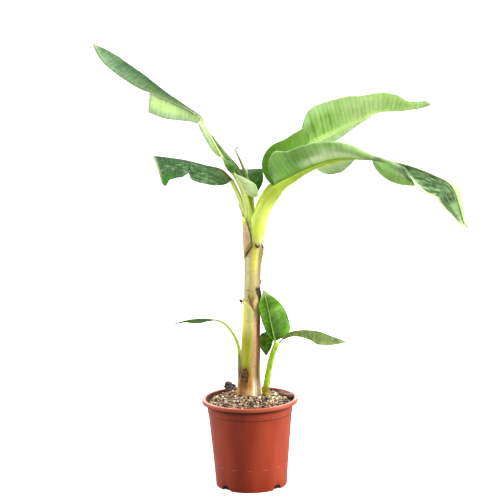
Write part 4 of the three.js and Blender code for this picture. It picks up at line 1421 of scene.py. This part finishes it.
# %% The two shoots' stems
def right_shoot_paint(turn, share):
    s = STALK_COLOURS
    dry = ramp(share + 0.08 * wobble(turn * 2, share * 20), 0.24, 0.13)
    # Painted light and shade: lighter on the stem's right, towards the lamp there, darker on its left.
    found = tint(s.vivid, (0.5 * ramp(math.cos(turn), 0.2, -0.9), s.lime), (ramp(share, 0.75, 1.0), s.lime),
        (0.75 * ramp(math.cos(turn), 0.55, 0.95), s.deep),
        (0.5 * ramp(wobble(turn * 1.5, share * 14, 4), 0.15, 0.4), s.deep),
        (0.8 * ramp(wobble(turn * 3, share * 70, 7), 0.32, 0.42), s.bark))
    return tint(found, (dry, s.amber), (dry * ramp(wobble(turn * 2, share * 60, 2), -0.15, 0.1), s.bark))


def left_shoot_paint(turn, share):
    s = STALK_COLOURS
    old = ramp(share + 0.03 * wobble(turn * 2, share * 30), 0.50, 0.42)
    return tint(s.leaf, (0.6 * ramp(math.cos(turn), -0.2, 0.6), s.juicy), (old, deepen(s.bark, 0.6)),
        (0.7 * old * ramp(wobble(turn * 1.2, share * 40, 2), 0.2, 0.45), s.grey))


make_stalk("right_shoot_stem", "shoot_right_stem", STEMS["shoot_right_stem"], right_shoot_paint,
    reference=AWAY)
make_stalk("left_shoot_stem", "shoot_left_stem", STEMS["shoot_left_stem"], left_shoot_paint,
    gutter_section(0.0, 0.5), AWAY)

# %% [markdown]
# ## Leaf blades
# A banana leaf tears along its veins into strips, and each strip hangs its own way. A cloth simulation
# would drape them, but not where the real ones hang, so each strip is a fine grid bent by one rule: laid
# out from the midrib at one angle, and turning steadily to another angle at the margin. Small waves along
# the margin and the soft ridges of the veins are added in the same step. A Solidify modifier then gives
# the sheet its thickness and a second material on its underside.

# %% The leaf rule
BLADE_THICKNESS = 0.0005
VEIN_SPACING = 0.0085
RIB_REACH = 0.14
SECTION_STEPS = 24
STEP_ALONG = 0.0019
NARROWEST = 0.0006


class Strip:
    """One strip of blade on its midrib."""

    def __init__(self, route, numbers, seed, wave):
        self.route = route
        self.numbers = numbers
        self.seed = seed
        self.wave = wave
        self.rows = {}

    def width(self, share):
        n = self.numbers
        start = clamp((share - n["from"]) / n["grow"]) if n["grow"] > 0 else 1.0
        end = clamp((n["to"] - share) / n["fade"]) if n["fade"] > 0 else 1.0
        shape = math.sqrt(1 - (1 - start) ** 2) * (1 - (1 - end) ** 1.5)
        ragged = 1 + 0.02 * wobble(share * self.route.length * 70, self.seed)
        return max(NARROWEST, between(n["stations"], share, 1) * shape * ragged)

    def row(self, share):
        """Everything that one line of blade across the midrib needs, worked out once."""
        if share not in self.rows:
            n = self.numbers
            lean = mix(*n["lean"], (share - n["from"]) / (n["to"] - n["from"]))
            root, edge, late = [between(n["stations"], share, column) for column in (2, 3, 4)]
            self.rows[share] = (self.route.frame(share, UP, 0.03), self.width(share), math.radians(root),
                math.radians(edge), late, math.tan(math.radians(lean)))
        return self.rows[share]

    def point(self, share, out):
        (centre, along, right, top), width, root, edge, late, slope = self.row(share)
        side = self.numbers["side"]
        sideways = upwards = 0.0
        for k in range(SECTION_STEPS):
            angle = root + (edge - root) * (out * (k + 0.5) / SECTION_STEPS) ** late
            sideways += math.cos(angle) * out * width / SECTION_STEPS
            upwards += math.sin(angle) * out * width / SECTION_STEPS
        angle = root + (edge - root) * out ** late
        normal = top * math.cos(angle) - right * side * math.sin(angle)
        metres = share * self.route.length
        ridge = 0.00022 * math.sin(2 * math.pi * metres / VEIN_SPACING) * ramp(out, 0.0, 0.12)
        wave = self.wave * out * out * wobble(metres * 26, out * 0.8, self.seed)
        wave += 0.4 * self.wave * out * wobble(metres * 75, out * 1.5, self.seed + 5)
        return (centre + right * side * sideways + top * upwards + along * slope * out * width
            + normal * (ridge + wave))


def add_strip(bm, sheet, paint, step_out):
    """Adds a strip's grid. Its outer face looks up, away from the ground side of the leaf."""
    n = sheet.numbers
    length = sheet.route.length * (n["to"] - n["from"])
    widest = max(station[1] for station in n["stations"])
    _, faces = bent_grid(bm, max(5, round(widest / step_out)), max(8, round(length / STEP_ALONG)),
        lambda out, along: sheet.point(mix(n["from"], n["to"], along), out),
        lambda out, along: paint(n["side"], mix(n["from"], n["to"], along), out), (length, 1.0))
    uv = bm.loops.layers.uv["UVMap"]
    for face in faces:
        for loop in face.loops:
            loop[uv].uv.x += n["from"] * sheet.route.length
    if n["side"] == LEFT:
        bmesh.ops.reverse_faces(bm, faces=list(faces))


print("veins stand", VEIN_SPACING * 1000, "mm apart")

# %% One leaf
LARGE = [LEAF_UPPER, LEAF_UNDER]
YOUNG = [YOUNG_UPPER, YOUNG_UNDER]
SHADED = [LEAF_SHADED, LEAF_SHADED]
MATT = [LEAF_MATT, LEAF_UNDER]
HALVED = ("leaf_right_low", "leaf_right_high", "leaf_left_high")


def make_leaf(name, paint, finishes, rib_colours, wave=0.0016, step_out=0.0026):
    """The blade of a leaf, and the midrib that carries it. The largest leaves are two CAD nodes each."""
    numbers = LEAVES[name]
    nodes = [name + "_inner", name + "_outer"] if name in HALVED else [name]
    route = Route(numbers["midrib"])
    bm = new_mesh()
    for k, strip_numbers in enumerate(numbers["strips"]):
        add_strip(bm, Strip(route, strip_numbers, 3.7 * k + len(name), wave), paint, step_out)
    thicken(piece(name + "_blade", bm, finishes, nodes), BLADE_THICKNESS, underside=1)
    foot, tip = numbers["rib"]
    radii = [tip + (foot - tip) * math.exp(-k / 20 / RIB_REACH) for k in range(21)]
    radii[-1] = tip / 2
    bm = new_mesh()
    tube(bm, route, radii, rib_colours, 18, 0.0025, gutter_section(0.75, 0.5))
    piece(name + "_midrib", bm, [STALK], nodes)


print(len(HALVED), "leaves stand for two nodes each")

# %% The colours of the blades
# The blade painters pass their colours through deepen, whose numbers paint light and shade in: a part that
# hangs in shade is painted lighter, and a face that looks up at the lamps darker, though upper faces are
# truly darker too.
BLADE = Palette(
    satin=(122, 164, 84), sage=(150, 178, 118), silver=(202, 218, 184), olive=(122, 152, 44),
    ink=(40, 84, 8), forest=(86, 134, 42), grass=(112, 158, 62), grey=(158, 180, 136),
    dusk=(128, 146, 112), yellow=(170, 200, 92), cream=(224, 236, 192), bottle=(92, 122, 80),
    night=(50, 76, 38), mint=(172, 204, 150), light=(170, 198, 128), leaf=(138, 176, 86),
    blue=(124, 164, 116), pine=(88, 132, 82), slate=(98, 118, 102), moss=(74, 104, 60),
    fresh=(66, 134, 54), straw=(206, 214, 160), brown=(150, 132, 86), lime=(208, 240, 156),
    shade=(68, 112, 16), meadow=(112, 164, 60), vivid=(92, 142, 30),
)


def rib_paint(foot, tip, where, depth=1.0, tip_depth=None):
    """A painter for a midrib: juicy near its foot, and no brighter than the blade further out."""
    def paint(turn, share):
        outer = ramp(share, where - 0.12, where + 0.12)
        return deepen(tint(STALK_COLOURS[foot], (outer, BLADE[tip])), mix(depth, tip_depth or depth, outer))

    return paint


# %% The lower right leaf
def paint_right_low(side, share, out):
    b = BLADE
    veins = wobble(share * 30 - out * 3, out * 2.5, 2)
    if side == LEFT and share < 0.196:
        # Painted shade: the far half's base, behind the near half, goes from shade green to leaf green.
        found = tint(b.shade, (ramp(share, 0.04, 0.14), b.meadow), (ramp(share, 0.12, 0.2), b.leaf))
        return deepen(found, 1.2)
    if side == LEFT and share < 0.4:
        found = tint(b.grey, (ramp(out, 0.5, 0.22), b.yellow), (0.6 * ramp(veins, 0.0, 0.4), b.silver))
        return tint(deepen(found, 2.2), (0.5 * ramp(out, 0.45, 0.7), b.silver),
            (0.6 * ramp(out, 0.78, 0.93) * near(share, 0.27, 0.07), b.sage),
            (0.7 * ramp(share, 0.33, 0.38), b.cream))
    if side == LEFT:
        found = tint(b.mint, (ramp(out, 0.45, 0.75), b.sage), (0.5 * ramp(veins, 0.1, 0.5), b.bottle))
        return deepen(tint(found, (ramp(share, 0.74, 0.8), b.mint)), 1.65)
    near_rib = ramp(out, 0.16, 0.05)
    found = tint(b.satin, (0.75 * ramp(share, 0.06, 0.01) * near(out, 0.5, 0.5), b.mint),
        (ramp(share, 0.12, 0.26), b.sage),
        # Painted highlight: silver above the rib on the near half, a reflection of the bright room.
        (0.9 * near(out, 0.34, 0.24) * ramp(share, 0.12, 0.2) * ramp(share, 0.44, 0.36), b.silver),
        (0.7 * near(share, 0.28, 0.07) * near(out, 0.5, 0.4), b.silver),
        (near_rib * ramp(share, 0.12, 0.18) * ramp(share, 0.34, 0.28), b.olive),
        (0.6 * ramp(out, 0.7, 0.9) * ramp(share, 0.38, 0.32), b.satin),
        (ramp(share, 0.4, 0.5), b.sage), (0.8 * near(share, 0.47, 0.04), b.dusk),
        (0.8 * ramp(share, 0.49, 0.52), b.mint),
        (0.7 * ramp(out, 0.9, 0.98) * ramp(share, 0.24, 0.34), b.cream),
        (0.8 * ramp(out, 0.95, 0.985) * ramp(share, 0.3, 0.2), b.mint))
    outer = ramp(share, 0.53, 0.58)
    fold = mix(0.5, 0.98, ramp(share, 0.58, 0.74))
    streaks = 0.6 * wobble(share * 22 + out * 7, out * 9, 5)
    streaks += 0.6 * wobble(share * 40 + out * 10, out * 22, 7)
    found = tint(found, (outer, b.bottle), (outer * 0.85 * ramp(streaks, 0.05, 0.35), b.night),
        (outer * 0.7 * ramp(streaks, -0.1, -0.45), b.mint),
        # Painted highlight: cream along the fold of the outer part, on its crest.
        (outer * near(out, fold, mix(0.42, 0.13, ramp(share, 0.58, 0.7))), b.cream),
        (outer * near(share, 0.6, 0.035) * ramp(out, 0.25, 0.1), b.night),
        (0.8 * ramp(share, 0.855, 0.89) * ramp(out, 0.7, 0.4), b.mint),
        (0.6 * near(out, 0.07, 0.1) * ramp(share, 0.76, 0.8), b.mint),
        (ramp(share, 0.94, 0.975), b.straw), (0.6 * ramp(share, 0.98, 1.0), b.brown))
    return deepen(found, mix(mix(2.0, 1.34, ramp(out, 0.1, 0.7)), 1.2, ramp(share, 0.36, 0.46)))


make_leaf("leaf_right_low", paint_right_low, LARGE, rib_paint("lime", "sage", 0.42, 0.76), step_out=0.0016)

# %% The upper right leaf
def paint_right_high(side, share, out):
    b = BLADE
    veins = ramp(wobble(share * 46, out * 0.8, 4), 0.0, 0.35)
    tip = ramp(share, 0.93, 0.99)
    if side == LEFT:
        found = tint(b.mint, (ramp(out, 0.35, 0.1), b.lime), (0.5 * ramp(share, 0.5, 0.6), b.cream))
        return tint(deepen(found, 0.92), (0.5 * veins, b.sage), (tip * 0.7, b.brown))
    found = tint(b.leaf, (ramp(share, 0.3, 0.58), b.light), (0.7 * veins * ramp(share, 0.5, 0.3), b.forest),
        (0.7 * ramp(out, 0.2, 0.06), b.lime), (0.7 * ramp(out, 0.6, 0.9) * ramp(share, 0.5, 0.3), b.mint),
        (0.35 * near(share, 0.78, 0.08), b.leaf), (0.6 * ramp(share, 0.86, 0.93), b.mint),
        (tip * 0.6, b.brown))
    return deepen(found, mix(1.0, 0.8, near(share, 0.55, 0.22)) * mix(1.0, 0.9, near(out, 0.5, 0.3)))


make_leaf("leaf_right_high", paint_right_high, LARGE, rib_paint("pale", "light", 0.7, 0.72))

# %% The upper left leaf
def paint_left_high(side, share, out):
    b = BLADE
    blot = ramp(wobble(share * 26, out * 4, 6), -0.05, 0.35)
    if side == RIGHT and share < 0.34:
        found = tint(b.satin, (0.7 * blot, b.moss), (0.7 * near(share, 0.11, 0.035), b.vivid),
            (ramp(out, 0.7, 0.9) * ramp(share, 0.15, 0.11), b.night),
            (0.5 * near(share, 0.19, 0.03) * ramp(out, 0.6, 0.9), b.silver))
        return deepen(found, 0.48)
    if side == RIGHT:
        found = tint(b.blue, (ramp(share, 0.72, 0.64), b.satin),
            (0.6 * blot * ramp(share, 0.6, 0.5), b.forest), (0.9 * ramp(out, 0.5, 0.9), b.pine),
            (0.3 * ramp(share, 0.8, 0.9), b.dusk))
        found = deepen(found, mix(mix(0.32, 0.40, ramp(share, 0.66, 0.76)), 0.62, ramp(share, 0.82, 0.92)))
        found = deepen(found, mix(1.35, 1.0, ramp(out, 0.1, 0.4)))
        return tint(found, (0.5 * ramp(share, 0.965, 0.99), b.straw))
    if share < 0.101:
        found = tint(b.cream, (0.3, b.lime), (0.6 * ramp(out, 0.6, 0.9), b.light),
            (0.4 * blot * ramp(share, 0.03, 0.06), b.sage))
        return deepen(found, 1.45)
    if share < 0.191:
        found = tint(b.grass, (0.7 * near(share, 0.12, 0.025), b.fresh),
            (ramp(share, 0.13, 0.18) * 0.6, b.sage), (0.5 * ramp(out, 0.75, 0.9), b.moss))
        return deepen(found, 1.15)
    if share < 0.381:
        found = tint(b.yellow, (ramp(share, 0.22, 0.32), b.cream), (0.6 * ramp(out, 0.4, 0.8), b.silver))
        return deepen(found, 1.1)
    if share < 0.65:
        found = tint(b.lime, (0.8 * ramp(out, 0.3, 0.1) * ramp(share, 0.41, 0.44), b.satin),
            (0.5 * ramp(share, 0.52, 0.46), b.light), (0.8 * ramp(out, 0.6, 0.85), b.silver),
            (0.8 * ramp(share, 0.6, 0.65), b.cream))
        hanging = mix(0.72, 1.0, ramp(share, 0.48, 0.56))
        return deepen(found, mix(0.36, 0.98, ramp(out, 0.1, 0.75)) * hanging)
    return tint(b.cream, (0.6 * ramp(out, 0.5, 0.0), b.mint))


make_leaf("leaf_left_high", paint_left_high, MATT, rib_paint("pale", "satin", 0.45, 0.85, 0.3),
    step_out=0.0020)

# %% The lower left leaf and the back leaf
def paint_left_low(side, share, out):
    b = BLADE
    streaks = 0.7 * wobble(share * 5 + out, out * 26, 8) + 0.5 * wobble(share * 12, out * 9, 3)
    found = tint(b.pine, (0.8 * ramp(streaks, 0.05, 0.35), b.moss),
        (0.8 * ramp(streaks, -0.1, -0.4), b.mint),
        (0.7 * ramp(out, 0.25, 0.1) * ramp(share, 0.5, 0.6), b.slate),
        (0.8 * ramp(out, 0.5, 0.2) * ramp(share, 0.32, 0.16), b.sage))
    found = tint(found, (ramp(share, 0.7, 0.82) * ramp(out, 0.5, 0.8), b.fresh))
    found = deepen(found, mix(0.72, 0.56, ramp(share, 0.1, 0.3)) * mix(1.0, 1.35, ramp(out, 0.7, 0.9)))
    return tint(found, (0.8 * ramp(share, 0.965, 0.99), b.straw))


def paint_back(side, share, out):
    b = BLADE
    veins = wobble(share * 22, out * 2, 3)
    found = tint(b.ink, (0.5 * ramp(veins, 0.0, 0.4), b.forest), (0.4 * ramp(out, 0.3, 0.0), b.forest))
    return deepen(found, 0.62)


make_leaf("leaf_left_low", paint_left_low, MATT, rib_paint("moss", "slate", 0.15), 0.0024, 0.0011)
make_leaf("leaf_back", paint_back, SHADED, rib_paint("deep", "forest", 0.3))

# %% The shoots' leaves
YOUNG_BLADE = Palette(
    green=(84, 138, 10), bright=(128, 176, 60), deep=(46, 100, 4), dull=(124, 146, 76),
    tip=(206, 218, 150),
)


def paint_upright(side, share, out):
    y = YOUNG_BLADE
    veins = wobble(share * 14 - out * 3, out * 2, 1)
    found = tint(y.green, (0.8 * (side == LEFT) * ramp(share, 0.4, 0.2), y.deep),
        (0.5 * ramp(veins, 0.05, 0.4), y.deep), (0.8 * near(share, 0.54, 0.1) * (side == RIGHT), y.bright),
        (0.6 * ramp(out, 0.7, 1.0), y.bright), (0.8 * ramp(share, 0.78, 0.95), y.tip),
        (0.85 * ramp(out, 0.86, 0.91) * near(share, 0.36, 0.15) * (side == RIGHT), y.deep))
    return deepen(found, mix(0.34, 0.95, ramp(out, 0.1, 0.9)))


def paint_side(side, share, out):
    y = YOUNG_BLADE
    found = tint(y.dull, (0.4 * ramp(wobble(share * 20, out * 2, 2), 0.0, 0.4), y.deep),
        (0.6 * ramp(share, 0.85, 0.97), y.tip))
    return deepen(found, mix(0.75, 1.1, ramp(out, 0.5, 0.9)))


def paint_low(side, share, out):
    y = YOUNG_BLADE
    return deepen(tint(y.green, (0.7 * ramp(wobble(share * 9, out * 5, 4), 0.0, 0.4), y.deep),
        (0.8 * ramp(out, 0.86, 0.97), y.tip)), 0.95)


def paint_left_shoot(side, share, out):
    y = YOUNG_BLADE
    return deepen(tint(y.green, (0.4, y.dull), (0.7 * ramp(share, 0.8, 0.97), y.tip)), 0.43)


make_leaf("shoot_right_leaf_upright", paint_upright, YOUNG, rib_paint("vivid", "lime", 0.9, 0.8), 0.001)
make_leaf("shoot_right_leaf_side", paint_side, YOUNG, rib_paint("leaf", "grass", 0.5, 0.45), 0.001)
make_leaf("shoot_right_leaf_back", paint_low, YOUNG, rib_paint("leaf", "grass", 0.5, 0.45), 0.001)
make_leaf("shoot_left_leaf", paint_left_shoot, YOUNG, rib_paint("leaf", "grass", 0.3, 0.4), 0.0006)

# %% [markdown]
# ## Camera, light and floor
# The plant was photographed from 3.4 m away with a long lens, a little above the crown and looking down
# about nine degrees. The studio is all white, with the strongest light behind the plant, so that it comes
# through the leaves, and a soft box on the right that shapes the pot.

# %% The camera
CAMERA_PLACE = (0.0064, -3.39, 1.03)
LOOKING_DOWN = math.radians(9.38)
CAMERA_ROLL = math.radians(1.2)
LENS_MM = 127.0
SENSOR_MM = 36.0


def make_camera():
    forward = Vector((0, math.cos(LOOKING_DOWN), -math.sin(LOOKING_DOWN)))
    level = Vector((1, 0, 0))
    above = level.cross(forward)
    right = level * math.cos(CAMERA_ROLL) - above * math.sin(CAMERA_ROLL)
    up = above * math.cos(CAMERA_ROLL) + level * math.sin(CAMERA_ROLL)
    data = bpy.data.cameras.new("studio_camera")
    data.lens = LENS_MM
    data.sensor_width = SENSOR_MM
    data.clip_end = 100.0
    camera = bpy.data.objects.new("studio_camera", data)
    turn = Matrix((right, up, -forward)).transposed().to_4x4()
    camera.matrix_world = Matrix.Translation(CAMERA_PLACE) @ turn
    bpy.context.scene.collection.objects.link(camera)
    bpy.context.scene.camera = camera


make_camera()

# %% The lights
def soft_box(name, place, target, size, power):
    data = bpy.data.lights.new(name, "AREA")
    data.shape = "RECTANGLE"
    data.size, data.size_y = size
    data.energy = power
    lamp = bpy.data.objects.new(name, data)
    lamp.location = place
    lamp.rotation_mode = "QUATERNION"
    lamp.rotation_quaternion = (Vector(target) - Vector(place)).to_track_quat("-Z", "Y")
    lamp.visible_camera = False
    bpy.context.scene.collection.objects.link(lamp)


soft_box("back_wall", (0.0, 2.6, 1.3), (0, 0, 0.5), (3.6, 2.4), 110)
soft_box("right_box", (2.2, -0.5, 0.8), (0, 0, 0.35), (0.8, 1.6), 78)
soft_box("left_box", (-2.2, 0.7, 0.9), (0, 0, 0.4), (0.8, 1.6), 32)
soft_box("top_box", (0.2, -0.5, 2.6), (0, 0, 0.5), (2.0, 1.6), 60)

# %% The white studio and its floor
FILL_IN_FRONT = 0.50
FILL_BEHIND = 1.0
WHITE_SEEN = 1.05
STUDIO_RADIUS = 60.0


def studio_disc(name, height, shade, glow):
    bm = bmesh.new()
    bmesh.ops.create_circle(bm, cap_ends=True, segments=96, radius=STUDIO_RADIUS)
    disc = to_object(name, bm)
    disc.location.z = height
    r = Recipe(name)
    disc.data.materials.append(r.finish(r.principled(Base_Color=(shade, shade, shade, 1), Roughness=0.8,
        Specular_IOR_Level=0.1, Emission_Color=(1, 1, 1, 1), Emission_Strength=glow)))
    return disc


def make_studio():
    world = bpy.data.worlds.new("white_studio")
    bpy.context.scene.world = world
    world.use_nodes = True
    nodes, links = world.node_tree.nodes, world.node_tree.links
    nodes.clear()
    seen = nodes.new("ShaderNodeBackground")
    seen.inputs["Strength"].default_value = WHITE_SEEN
    fill = nodes.new("ShaderNodeBackground")
    direction = nodes.new("ShaderNodeTexCoord")
    apart = nodes.new("ShaderNodeSeparateXYZ")
    darken = nodes.new("ShaderNodeMapRange")
    for socket, value in enumerate((-0.7, 0.7, FILL_IN_FRONT, FILL_BEHIND), 1):
        darken.inputs[socket].default_value = value
    links.new(direction.outputs["Generated"], apart.inputs[0])
    links.new(apart.outputs["Y"], darken.inputs[0])
    links.new(darken.outputs[0], fill.inputs["Strength"])
    path = nodes.new("ShaderNodeLightPath")
    choose = nodes.new("ShaderNodeMixShader")
    out = nodes.new("ShaderNodeOutputWorld")
    for background in (seen, fill):
        background.inputs["Color"].default_value = (1, 1, 1, 1)
    links.new(path.outputs["Is Camera Ray"], choose.inputs[0])
    links.new(fill.outputs[0], choose.inputs[1])
    links.new(seen.outputs[0], choose.inputs[2])
    links.new(choose.outputs[0], out.inputs["Surface"])
    floor = studio_disc("studio_floor", -0.0005, 0.9, 0.8)
    floor.visible_diffuse = False
    floor.visible_glossy = False
    bounce = studio_disc("floor_bounce", -0.001, 0.5, 0.0)
    bounce.visible_camera = False
    bpy.context.scene.view_settings.view_transform = "Standard"


make_studio()
